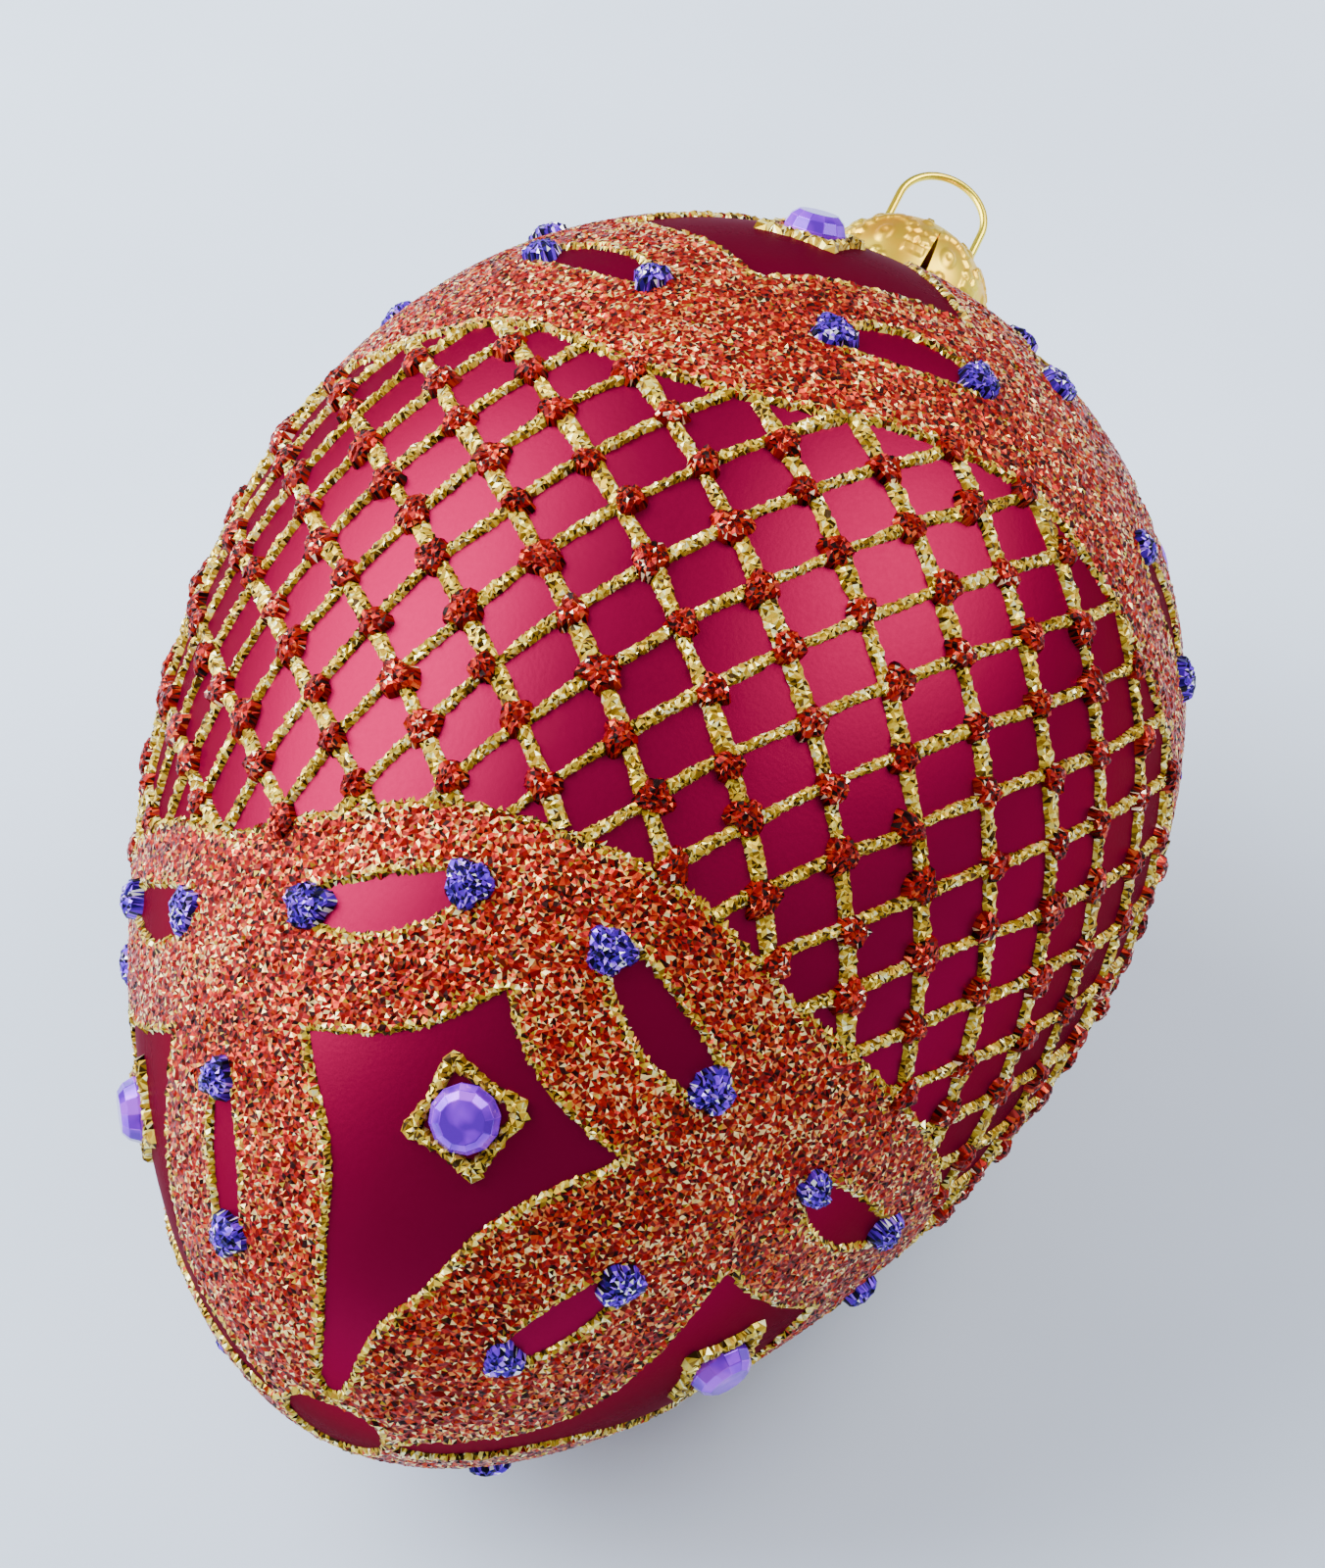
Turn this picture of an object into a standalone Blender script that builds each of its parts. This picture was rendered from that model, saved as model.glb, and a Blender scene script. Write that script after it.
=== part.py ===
"""Jewelled egg: a hollow blown-glass ornament, laid on its side on a small flat spot.

The egg is modelled upright, pointed end down, about the Z axis of an empty. The empty then
lays it on its side with the cap towards +X. The origin of the part is the middle of the flat
spot that it rests on, with +Z up. All lengths are in metres and all stations on the egg are
given as (station, turn): station runs from 0 at the pointed pole to pi at the blunt pole, and
turn is the angle round the egg's axis.
"""

import math

import bmesh
import bpy
from mathutils import Matrix, Vector
from mathutils.geometry import delaunay_2d_cdt

MM = 0.001

# Glass shell
EGG_LENGTH = 124.0 * MM
EGG_RADIUS = 45.0 * MM
EGG_FULLNESS = 0.224
WALL = 1.2 * MM
NECK_RADIUS = 6.2 * MM
NECK_HEIGHT = 8.0 * MM
NECK_BLEND = 2.0 * MM
TURNS_ROUND = 36
RINGS = 15

# How it lies
REST_TILT = math.radians(9.0)
FLAT_RADIUS = 6.5 * MM
PATTERN_TURN = math.radians(192.35)

# Fits
CLEARANCE = 0.3 * MM
REST_GAP = 0.1 * MM

# Cap and hanger
CAP_SHEET = 0.4 * MM
CAP_ROOM = 2.7 * MM
CAP_SKIRT = 7.9 * MM
CAP_RADIUS = NECK_RADIUS + CAP_ROOM + CAP_SHEET
CAP_SLIT_WIDTH = 1.2 * MM
CAP_SLIT_REACH = 4.0 * MM
CAP_SLIT_RISE = math.radians(28.0)
CAP_SLITS = 4
CAP_SLIT_TURN = math.radians(11.0)
CAP_TURNS_ROUND = 20
WIRE_DIAMETER = 0.85 * MM
LOOP_RADIUS = 4.7 * MM
LOOP_HEIGHT = 5.1 * MM
LOOP_TURN = math.radians(96.7)
LEG_SPLAY = 2.5 * MM
LEG_TAIL = 6.0 * MM

# Glitter relief
RELIEF = 0.6 * MM
STRAND_WIDTH = 1.5 * MM
STRAND_HEIGHT = 0.75 * MM
NET_START = (1.555, math.radians(11.4))
NET_DOWN = (-0.0639, math.radians(5.516))
NET_LINES = (39, 25)
LEAST_LOOSE_END = 0.3
LOOSE_END_STEP = 0.02
SHEET_LIFT = 0.45 * MM
MESH_STEP = 10.0 * MM
MOST_SAG = 0.8 * SHEET_LIFT
MIDDLE_SPREAD = 0.12
RIM_POINTS = 36
HOLE_POINTS = 12
SLIT_POINTS = 6
LOOP_POINTS = 12
EDGE_SPREAD = 0.4
LEAST_SPREAD = 0.01
REFINEMENTS = 4

# The net's two families of lines: a step along one is NET_DOWN, and the step along the other
# follows from how many lines of each close round the egg. Steps are (station, turn).
NET_UP = (-NET_LINES[0] * NET_DOWN[0] / NET_LINES[1],
          (2.0 * math.pi - NET_LINES[0] * NET_DOWN[1]) / NET_LINES[1])

# Gems and the glitter line round each
GEM_RADIUS = 2.9 * MM
GEM_HEIGHT = 2.1 * MM
GEM_GIRDLE = 0.6 * MM
GEM_TABLE = 0.55
GEM_SIDES = 10
FRAME_POINT = 2.5 * MM
FRAME_WIDTH = 1.1 * MM
SIDE_HALF = 0.5
TIP_HALF = 0.7
FRAME_HEIGHT = 0.7 * MM

QUARTER = math.pi / 2
DOME_STEPS = 6
WHOLE_TURN = 2.0 * math.pi
POLE_SPOT_RADIUS = 3.9 * MM
CAP_MARGIN = 2.4 * MM

# The wreath of each end, on the quarter round a window, in shares of the egg. A corner is
# (turn in degrees, station from the end's own pole), and a sag is how far a window's side
# bows in. Each slit is given by its two tips and its half width.
WREATHS = {
    "pointed": {
        "hole": POLE_SPOT_RADIUS,
        "edge": 1.185,
        "wave": 0.035,
        "foot": 0.06,
        "corner": (27.5, 0.845),
        "tip": 0.965,
        "sags": (0.09, 0.02),
        "gem": 0.80,
        "petal_slit": (0.485, 0.76, 0.036),
        "ring_slit": ((32.0, 1.03), (11.3, 1.10), 0.036),
        "turn": 0.0,
    },
    "blunt": {
        "hole": CAP_RADIUS + CAP_MARGIN,
        "edge": 1.20,
        "wave": 0.055,
        "foot": 0.055,
        "corner": (26.0, 0.80),
        "tip": 0.96,
        "sags": (0.07, 0.02),
        "gem": 0.69,
        "petal_slit": (0.50, 0.77, 0.036),
        "ring_slit": ((30.0, 0.99), (11.3, 1.06), 0.036),
        "turn": -11.0,
    },
}


def clear_scene():
    """Empty the scene that Blender opened with."""
    for thing in list(bpy.data.objects):
        bpy.data.objects.remove(thing, do_unlink=True)


def material(name, colour, roughness, metallic=0.0):
    """A Principled material with plain values."""
    made = bpy.data.materials.new(name)
    made.use_nodes = True
    shader = made.node_tree.nodes["Principled BSDF"]
    shader.inputs["Base Color"].default_value = (*colour, 1.0)
    shader.inputs["Roughness"].default_value = roughness
    shader.inputs["Metallic"].default_value = metallic
    made.diffuse_color = (*colour, 1.0)
    return made


def end_station(end, depth):
    """Station on the egg of a distance from an end's own pole."""
    return depth if end == "pointed" else math.pi - depth


def profile_radius(station):
    """Radius of the glass at a station, the egg's one outline formula."""
    return EGG_RADIUS * math.sin(station) * (1.0 - EGG_FULLNESS * math.cos(station))


def profile_height(station):
    """Height of a station along the egg's axis, from the middle of its length."""
    return -0.5 * EGG_LENGTH * math.cos(station)


def profile_slopes(station):
    """How fast radius and height grow with the station."""
    d_radius = EGG_RADIUS * (math.cos(station) - EGG_FULLNESS * math.cos(2.0 * station))
    d_height = 0.5 * EGG_LENGTH * math.sin(station)
    return d_radius, d_height


def profile_offset(station, offset):
    """(radius, height) of the outline moved outwards by an offset."""
    d_radius, d_height = profile_slopes(station)
    run = math.hypot(d_radius, d_height)
    radius = profile_radius(station) + offset * d_height / run
    height = profile_height(station) - offset * d_radius / run
    return radius, height


def on_egg(station, turn, offset):
    """A point above the glass at a station and a turn."""
    radius, height = profile_offset(station, offset)
    return Vector((radius * math.cos(turn), radius * math.sin(turn), height))


def station_of_slope(slope):
    """Station where the outline leans outwards by an angle, found by halving."""
    low, high = 0.3, math.pi - 0.3
    for _ in range(60):
        middle = 0.5 * (low + high)
        d_radius, d_height = profile_slopes(middle)
        if math.atan2(d_radius, d_height) > slope:
            low = middle
        else:
            high = middle
    return 0.5 * (low + high)


def depth_of_radius(end, radius):
    """Station from an end's own pole where the outline has a radius, found by halving."""
    low, high = 0.0, 0.4 * math.pi
    for _ in range(60):
        middle = 0.5 * (low + high)
        if profile_radius(end_station(end, middle)) < radius:
            low = middle
        else:
            high = middle
    return 0.5 * (low + high)


REST_STATION = station_of_slope(REST_TILT)
FLAT_DEPTH = FLAT_RADIUS ** 2 / (2.0 * profile_radius(REST_STATION))
NECK_STATION = end_station("blunt", depth_of_radius("blunt", NECK_RADIUS + NECK_BLEND))
CAP_STATION = end_station("blunt", depth_of_radius("blunt", CAP_RADIUS))
CAP_RIM = profile_height(CAP_STATION) + CLEARANCE + 0.5 * CAP_SHEET
CAP_SPRING = CAP_RIM + CAP_SKIRT
MOUTH_HEIGHT = 0.5 * EGG_LENGTH + NECK_HEIGHT


def rest_matrix():
    """Place of the upright egg in the part's frame: laid over, its flat spot on Z = 0."""
    lay = Matrix.Rotation(math.pi / 2 - REST_TILT, 4, "Y")
    touch = lay @ on_egg(REST_STATION, 0.0, 0.0)
    return Matrix.Translation((-touch.x, -touch.y, -touch.z - FLAT_DEPTH)) @ lay


REST = rest_matrix()


def link(thing, collection, parent=None):
    """Put an object in a collection, under the empty that carries the egg."""
    collection.objects.link(thing)
    if parent is not None:
        thing.parent = parent
    return thing


def smooth(thing, degrees=40.0):
    """Shade a round piece smooth, with its real edges sharp."""
    thing.data.shade_smooth()
    thing.data.set_sharp_from_angle(angle=math.radians(degrees))


def turned(name, points, steps, collection, parent, surface):
    """A closed turned shape from a profile of (radius, height) points."""
    mesh = bpy.data.meshes.new(name)
    edges = [(index, index + 1) for index in range(len(points) - 1)]
    mesh.from_pydata([(radius, 0.0, height) for radius, height in points], edges, [])
    thing = link(bpy.data.objects.new(name, mesh), collection, parent)
    screw = thing.modifiers.new("turn", "SCREW")
    screw.axis = "Z"
    screw.steps = steps
    screw.render_steps = steps
    screw.use_merge_vertices = True
    screw.merge_threshold = 0.00001
    screw.use_normal_calculate = False
    mesh.materials.append(surface)
    return thing


def arc_points(centre, radius, start, end, count):
    """Points of an arc in the (radius, height) plane, both ends included."""
    points = []
    for index in range(count + 1):
        angle = start + (end - start) * index / count
        points.append((centre[0] + radius * math.cos(angle), centre[1] + radius * math.sin(angle)))
    return points


def glass_profile():
    """Outline of the blown shell: down the outside from the mouth, back up the inside."""
    bore = NECK_RADIUS - WALL
    outer = [(NECK_RADIUS, MOUTH_HEIGHT)]
    blend_radius, blend_height = profile_offset(NECK_STATION, 0.0)
    outer.append((NECK_RADIUS, blend_height + NECK_BLEND))
    for index in range(RINGS):
        station = NECK_STATION * (1.0 - index / RINGS)
        outer.append(profile_offset(station, 0.0))
    outer.append((0.0, profile_height(0.0)))
    inner = [(0.0, profile_height(0.0) + WALL)]
    for index in range(1, RINGS + 1):
        station = NECK_STATION * index / RINGS
        inner.append(profile_offset(station, -WALL))
    inner.append((bore, blend_height + NECK_BLEND))
    inner.append((bore, MOUTH_HEIGHT))
    return outer + inner + outer[:1]


def make_glass(collection, cutters, parent, surface):
    """The hollow shell with its open neck, cut flat where it rests."""
    glass = turned("glass_egg", glass_profile(), TURNS_ROUND, collection, parent, surface)
    bpy.ops.mesh.primitive_cube_add(size=EGG_LENGTH, location=(0.0, 0.0, -0.5 * EGG_LENGTH))
    add_cut(glass, hide_cutter("flat_spot_cutter", cutters))
    return glass


def cap_profile():
    """Outline of the thin cap: down the outside to the rim, back up the inside."""
    centre = (0.0, CAP_SPRING)
    outside = arc_points(centre, CAP_RADIUS, QUARTER, 0.0, DOME_STEPS)
    outside.append((CAP_RADIUS, CAP_RIM))
    inside = [(CAP_RADIUS - CAP_SHEET, CAP_RIM)]
    inside += arc_points(centre, CAP_RADIUS - CAP_SHEET, 0.0, QUARTER, DOME_STEPS - 1)
    outside[0] = (0.0, CAP_SPRING + CAP_RADIUS)
    inside[-1] = (0.0, CAP_SPRING + CAP_RADIUS - CAP_SHEET)
    return outside + inside


def cap_top(radius):
    """Height of the cap's outer face above a radius of its dome."""
    return CAP_SPRING + math.sqrt(CAP_RADIUS ** 2 - radius ** 2)


def add_cut(thing, cutter):
    """Cut a piece with a closed cutter."""
    cut = thing.modifiers.new(cutter.name, "BOOLEAN")
    cut.operation = "DIFFERENCE"
    cut.solver = "EXACT"
    cut.object = cutter


def hide_cutter(name, collection, parent=None):
    """Name the primitive just added and keep it as a hidden cutter."""
    cutter = bpy.context.active_object
    cutter.name = name
    cutter.display_type = "WIRE"
    cutter.hide_render = True
    for owner in list(cutter.users_collection):
        owner.objects.unlink(cutter)
    return link(cutter, collection, parent)


def make_cap(collection, cutters, parent, surface):
    """The pressed sheet cap, with its slits and the two holes for the wire."""
    cap = turned("ornament_cap", cap_profile(), CAP_TURNS_ROUND, collection, parent, surface)
    slit_top = CAP_SPRING + CAP_RADIUS * math.sin(CAP_SLIT_RISE)
    slit_foot = CAP_RIM - CAP_SHEET
    for index in range(CAP_SLITS):
        turn = PATTERN_TURN + CAP_SLIT_TURN + index * 2.0 * math.pi / CAP_SLITS
        bpy.ops.mesh.primitive_cone_add(vertices=4, radius1=1.0, depth=slit_top - slit_foot)
        slit = hide_cutter(f"cap_slit_cutter_{index + 1}", cutters, parent)
        slit.location = (CAP_RADIUS * math.cos(turn), CAP_RADIUS * math.sin(turn),
                         0.5 * (slit_top + slit_foot))
        slit.rotation_euler = (0.0, 0.0, turn)
        slit.scale = (CAP_SLIT_REACH, 0.5 * CAP_SLIT_WIDTH, 1.0)
        add_cut(cap, slit)
    for side, turn in (("a", leg_turn()), ("b", leg_turn() + math.pi)):
        bpy.ops.mesh.primitive_cylinder_add(
            vertices=8, radius=0.5 * WIRE_DIAMETER + CLEARANCE, depth=CAP_RADIUS)
        hole = hide_cutter(f"wire_hole_cutter_{side}", cutters, parent)
        hole.location = (LOOP_RADIUS * math.cos(turn), LOOP_RADIUS * math.sin(turn),
                         cap_top(LOOP_RADIUS))
        add_cut(cap, hole)
    smooth(cap)
    return cap


def leg_turn():
    """Turn of the hanger's first leg."""
    return PATTERN_TURN + LOOP_TURN


def make_hanger(collection, parent, surface):
    """The sprung wire: a round loop above the cap and two legs that splay in the neck."""
    foot = cap_top(LOOP_RADIUS)
    loop_centre = foot + LOOP_HEIGHT
    in_neck = NECK_RADIUS - WALL - CLEARANCE - 0.5 * WIRE_DIAMETER
    shoulder = profile_height(NECK_STATION) - WALL
    leg = [(in_neck + LEG_SPLAY, shoulder - LEG_TAIL), (in_neck, shoulder), (in_neck, MOUTH_HEIGHT),
           (LOOP_RADIUS, foot - WIRE_DIAMETER - CAP_SHEET), (LOOP_RADIUS, foot + WIRE_DIAMETER)]
    route = list(leg)
    for index in range(LOOP_POINTS + 1):
        angle = math.pi * index / LOOP_POINTS
        route.append((LOOP_RADIUS * math.cos(angle), loop_centre + LOOP_RADIUS * math.sin(angle)))
    route += [(-across, height) for across, height in reversed(leg)]
    curve = bpy.data.curves.new("hanger_wire", "CURVE")
    curve.dimensions = "3D"
    curve.bevel_depth = 0.5 * WIRE_DIAMETER
    curve.bevel_resolution = 2
    curve.use_fill_caps = True
    spline = curve.splines.new("POLY")
    spline.points.add(len(route) - 1)
    turn = leg_turn()
    for point, (across, height) in zip(spline.points, route):
        point.co = (across * math.cos(turn), across * math.sin(turn), height, 1.0)
    wire = link(bpy.data.objects.new("hanger_wire", curve), collection, parent)
    curve.materials.append(surface)
    return wire


def flat(turn_degrees, depth):
    """A point of an end's flat plan, where the pole is the middle."""
    angle = math.radians(turn_degrees)
    return Vector((depth * math.sin(angle), depth * math.cos(angle)))


def bowed(start, end, sag, count):
    """Points from start to before end on a side that bows in by a sag."""
    along = end - start
    side = Vector((-along.y, along.x)).normalized()
    points = []
    for index in range(count):
        share = index / count
        points.append(start + along * share + side * (sag * 4.0 * share * (1.0 - share)))
    return points


def window_outline(design, hole):
    """The four-sided window with concave sides, about turn zero."""
    corner_turn, corner = design["corner"]
    low_sag, top_sag = design["sags"]
    low = flat(0.0, hole + design["foot"])
    right = flat(corner_turn, corner)
    left = flat(-corner_turn, corner)
    top = flat(0.0, design["tip"])
    points = bowed(low, right, low_sag, 4)
    points += bowed(right, top, top_sag, 3)
    points += bowed(top, left, top_sag, 3)
    points += bowed(left, low, low_sag, 4)
    return points


def slit_outline(first, second, half_width):
    """A long pointed-oval slit between two places of the flat plan."""
    middle = (first + second) / 2.0
    along = (second - first) / 2.0
    across = Vector((-along.y, along.x)).normalized() * half_width
    points = []
    for index in range(SLIT_POINTS):
        angle = 2.0 * math.pi * index / SLIT_POINTS
        points.append(middle + along * math.cos(angle) + across * math.sin(angle))
    return points


def turned_flat(points, degrees):
    """Points of the flat plan turned about the pole."""
    angle = -math.radians(degrees)
    spin = Matrix.Rotation(angle, 2)
    return [spin @ point for point in points]


def wreath_edge(design, turn):
    """Depth of the wreath's outer edge at a turn of the flat plan."""
    return design["edge"] + design["wave"] * math.cos(4.0 * turn)


def wreath_holes(design, hole):
    """Outlines of the pole hole, the windows and the slits of one wreath."""
    holes = [[flat(360.0 * index / HOLE_POINTS, hole) for index in range(HOLE_POINTS)]]
    window = window_outline(design, hole)
    near, far, petal_half = design["petal_slit"]
    petal = slit_outline(flat(45.0, near), flat(45.0, far), petal_half)
    outer, inner, ring_half = design["ring_slit"]
    for index in range(4):
        holes.append(turned_flat(window, 90.0 * index))
        holes.append(turned_flat(petal, 90.0 * index))
        for side in (-1.0, 1.0):
            far_tip = flat(side * outer[0], outer[1])
            near_tip = flat(side * inner[0], inner[1])
            holes.append(turned_flat(slit_outline(far_tip, near_tip, ring_half), 90.0 * index))
    return holes


def inside(point, outline):
    """Whether a point of the flat plan is inside a closed outline."""
    crossings = 0
    for index, first in enumerate(outline):
        second = outline[index - 1]
        if (first.y > point.y) != (second.y > point.y):
            share = (point.y - first.y) / (second.y - first.y)
            if point.x < first.x + share * (second.x - first.x):
                crossings += 1
    return crossings % 2 == 1


def edge_distance(point, outline):
    """Distance from a point to the nearest side of an outline."""
    best = 10.0
    for index, first in enumerate(outline):
        along = outline[index - 1] - first
        share = max(0.0, min(1.0, (point - first).dot(along) / along.length_squared))
        best = min(best, (first + along * share - point).length)
    return best


def wreath_place(end, design, spot, offset):
    """Where a point of the flat plan lies above the glass."""
    turn = math.atan2(spot.x, spot.y) + PATTERN_TURN + math.radians(design["turn"])
    return on_egg(end_station(end, spot.length), turn, offset)


def in_wreath(spot, outlines):
    """Whether a point is inside the rim and outside every hole."""
    return inside(spot, outlines[0]) and not any(inside(spot, hole) for hole in outlines[1:])


def first_spots(end, design, hole, outlines):
    """Evenly spread points of the flat plan, in rings about the pole, clear of the outlines."""
    found = []
    row_step = MESH_STEP / (0.5 * EGG_LENGTH)
    for row in range(1, int((design["edge"] - hole) / row_step) + 1):
        depth = hole + row * row_step
        around = max(6, round(2.0 * math.pi * profile_radius(end_station(end, depth)) / MESH_STEP))
        for index in range(around):
            spot = flat(360.0 * (index + 0.5 * (row % 2)) / around, depth)
            apart = min(edge_distance(spot, outline) for outline in outlines)
            if apart > EDGE_SPREAD * row_step and in_wreath(spot, outlines):
                found.append(spot)
    return found


def sagging_middles(end, design, spots, faces, outlines):
    """Middles of the inner edges that would cut too deep below the sheet."""
    edges = {tuple(sorted((face[index], face[index - 1]))) for face in faces for index in range(3)}
    found = []
    for first, second in sorted(edges):
        middle = (spots[first] + spots[second]) / 2.0
        chord = (wreath_place(end, design, spots[first], 0.0)
                 + wreath_place(end, design, spots[second], 0.0)) / 2.0
        sag = (wreath_place(end, design, middle, 0.0) - chord).length
        apart = min(edge_distance(middle, outline) for outline in outlines)
        lonely = all((middle - other).length > MIDDLE_SPREAD for other in found)
        if sag > MOST_SAG and apart > LEAST_SPREAD and lonely:
            found.append(middle)
    return found


def wreath_mesh(end, design):
    """The wreath as one open sheet that follows the glass, a clearance above it."""
    hole = depth_of_radius(end, design["hole"])
    rim = []
    for index in range(RIM_POINTS):
        turn = 2.0 * math.pi * index / RIM_POINTS
        rim.append(flat(math.degrees(turn), wreath_edge(design, turn)))
    outlines = [rim] + wreath_holes(design, hole)
    points = []
    sides = []
    for outline in outlines:
        first = len(points)
        count = len(outline)
        points += outline
        sides += [(first + index, first + (index + 1) % count) for index in range(count)]
    points += first_spots(end, design, hole, outlines)
    for _ in range(REFINEMENTS):
        spots, _, faces, _, _, _ = delaunay_2d_cdt(points, sides, [], 0, 1e-6)
        kept = []
        for face in faces:
            middle = (spots[face[0]] + spots[face[1]] + spots[face[2]]) / 3.0
            if in_wreath(middle, outlines):
                kept.append(face)
        extra = sagging_middles(end, design, spots, kept, outlines)
        if not extra:
            break
        points += extra
    mesh = bpy.data.meshes.new(f"glitter_wreath_{end}")
    mesh.from_pydata([wreath_place(end, design, spot, SHEET_LIFT) for spot in spots], [], kept)
    shape = bmesh.new()
    shape.from_mesh(mesh)
    loose = [vertex for vertex in shape.verts if not vertex.link_faces]
    bmesh.ops.delete(shape, geom=loose, context="VERTS")
    for face in shape.faces:
        if face.normal.dot(face.calc_center_median()) < 0.0:
            face.normal_flip()
    shape.to_mesh(mesh)
    shape.free()
    return mesh


def make_wreath(end, design, collection, parent, surface):
    """One wreath of glitter relief, thickened outwards from its sheet."""
    mesh = wreath_mesh(end, design)
    wreath = link(bpy.data.objects.new(f"glitter_wreath_{end}", mesh), collection, parent)
    mesh.materials.append(surface)
    thick = wreath.modifiers.new("relief", "SOLIDIFY")
    thick.thickness = RELIEF
    thick.offset = 1.0
    thick.use_even_offset = False
    return wreath


def net_limits(turn):
    """Stations between which the net shows at a turn."""
    margin = (CLEARANCE + 0.5 * STRAND_WIDTH) / (0.5 * EGG_LENGTH)
    pointed = WREATHS["pointed"]
    blunt = WREATHS["blunt"]
    low = wreath_edge(pointed, turn - PATTERN_TURN - math.radians(pointed["turn"]))
    high = math.pi - wreath_edge(blunt, turn - PATTERN_TURN - math.radians(blunt["turn"]))
    return low + margin, high - margin


def clears_rest(station, turn):
    """Whether a strand's back stays above the surface that the egg rests on."""
    top = REST @ on_egg(station, turn, CLEARANCE + STRAND_HEIGHT)
    return top.z > REST_GAP


def net_place(down, up):
    """Station and turn of a crossing, from its count of steps along each family."""
    station = NET_START[0] + down * NET_DOWN[0] + up * NET_UP[0]
    return station, NET_START[1] + down * NET_DOWN[1] + up * NET_UP[1]


def once_round(down, up):
    """The same crossing with its turn between nothing and one whole turn."""
    turn = net_place(down, up)[1]
    if turn >= WHOLE_TURN:
        return down - NET_LINES[0], up - NET_LINES[1]
    if turn < 0.0:
        return down + NET_LINES[0], up + NET_LINES[1]
    return down, up


def next_crossings(down, up):
    """The two crossings that a crossing's rising strands lead to, by side."""
    return (0, once_round(down, up + 1)), (3, once_round(down - 1, up))


def seen_crossings():
    """Every crossing that shows between the wreaths and clear of the rest plane."""
    reach = STRAND_WIDTH / (0.5 * EGG_LENGTH)
    found = {}
    for down in range(-NET_LINES[0], 2 * NET_LINES[0]):
        for up in range(-NET_LINES[1], 2 * NET_LINES[1]):
            station, turn = net_place(down, up)
            if not 0.0 <= turn < WHOLE_TURN:
                continue
            turn += PATTERN_TURN
            low, high = net_limits(turn)
            if low + reach < station < high - reach and clears_rest(station, turn):
                found[down, up] = (station, turn)
    return found


def largest_group(crossings):
    """The crossings that hang together, without any that stand alone."""
    leader = {key: key for key in crossings}

    def lead(key):
        while leader[key] != key:
            key = leader[key]
        return key

    for key in crossings:
        for _, neighbour in next_crossings(*key):
            if neighbour in crossings:
                leader[lead(neighbour)] = lead(key)
    groups = {}
    for key in crossings:
        groups.setdefault(lead(key), []).append(key)
    largest = max(groups.values(), key=len)
    return {key: crossings[key] for key in largest}


def crossing_spread(station):
    """How far, in station and turn, the corners of a crossing stand from its middle."""
    run = math.hypot(*profile_slopes(station))
    radius = profile_radius(station)
    lean = math.atan2(radius * (NET_UP[1] + NET_DOWN[1]), run * (NET_UP[0] - NET_DOWN[0]))
    half = 0.5 * STRAND_WIDTH
    return half / math.sin(lean) / run, half / math.cos(lean) / radius


def net_mesh():
    """The diamond net: ridged strands that meet at crossings, all one body."""
    shape = bmesh.new()
    crossings = largest_group(seen_crossings())
    corners = {}
    for key, (station, turn) in crossings.items():
        step, spin = crossing_spread(station)
        places = ((station + step, turn), (station, turn + spin),
                  (station - step, turn), (station, turn - spin))
        base = [shape.verts.new(on_egg(*place, CLEARANCE)) for place in places]
        back = shape.verts.new(on_egg(station, turn, CLEARANCE + STRAND_HEIGHT))
        shape.faces.new(base)
        corners[key] = (base, back)
    joined = {key: set() for key in crossings}
    for key, (base, back) in corners.items():
        for side, neighbour in next_crossings(*key):
            if neighbour not in corners:
                continue
            other_base, other_back = corners[neighbour]
            near = (base[side], base[(side + 1) % 4])
            far_side = (side + 2) % 4
            far = (other_base[(far_side + 1) % 4], other_base[far_side])
            shape.faces.new((near[0], near[1], far[1], far[0]))
            shape.faces.new((near[0], far[0], other_back, back))
            shape.faces.new((near[1], back, other_back, far[1]))
            joined[key].add(side)
            joined[neighbour].add(far_side)
    add_loose_ends(shape, crossings, corners, joined)
    bmesh.ops.triangulate(shape, faces=shape.faces)
    bmesh.ops.recalc_face_normals(shape, faces=shape.faces)
    mesh = bpy.data.meshes.new("glitter_net")
    shape.to_mesh(mesh)
    shape.free()
    return mesh


def add_loose_ends(shape, crossings, corners, joined):
    """Close each open side of a crossing, with a short strand where a wreath is near."""
    ways = (NET_UP, NET_DOWN, (-NET_UP[0], -NET_UP[1]), (-NET_DOWN[0], -NET_DOWN[1]))
    signs = ((1, -1), (1, 1), (-1, 1), (-1, -1))
    for key, (station, turn) in crossings.items():
        base, back = corners[key]
        for side in range(4):
            if side in joined[key]:
                continue
            near = (base[side], base[(side + 1) % 4])
            share = loose_share(station, turn, *ways[side])
            if share < LEAST_LOOSE_END:
                shape.faces.new((near[0], near[1], back))
                continue
            tip = (station + share * ways[side][0], turn + share * ways[side][1])
            tip_back = shape.verts.new(on_egg(*tip, CLEARANCE + STRAND_HEIGHT))
            step, spin = (0.5 * spread * sign
                          for spread, sign in zip(crossing_spread(tip[0]), signs[side]))
            first = shape.verts.new(on_egg(tip[0] + step, tip[1] + spin, CLEARANCE))
            second = shape.verts.new(on_egg(tip[0] - step, tip[1] - spin, CLEARANCE))
            shape.faces.new((near[0], near[1], second, first))
            shape.faces.new((near[0], first, tip_back, back))
            shape.faces.new((near[1], back, tip_back, second))
            shape.faces.new((first, second, tip_back))


def loose_share(station, turn, up, round_way):
    """Share of a step that a strand can run before it meets a wreath or the rest plane."""
    share = 0.0
    while share < 1.0 - LOOSE_END_STEP:
        share += LOOSE_END_STEP
        low, high = net_limits(turn + share * round_way)
        here = station + share * up
        if not low < here < high or not clears_rest(here, turn + share * round_way):
            return share - LOOSE_END_STEP
    return share


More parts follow.
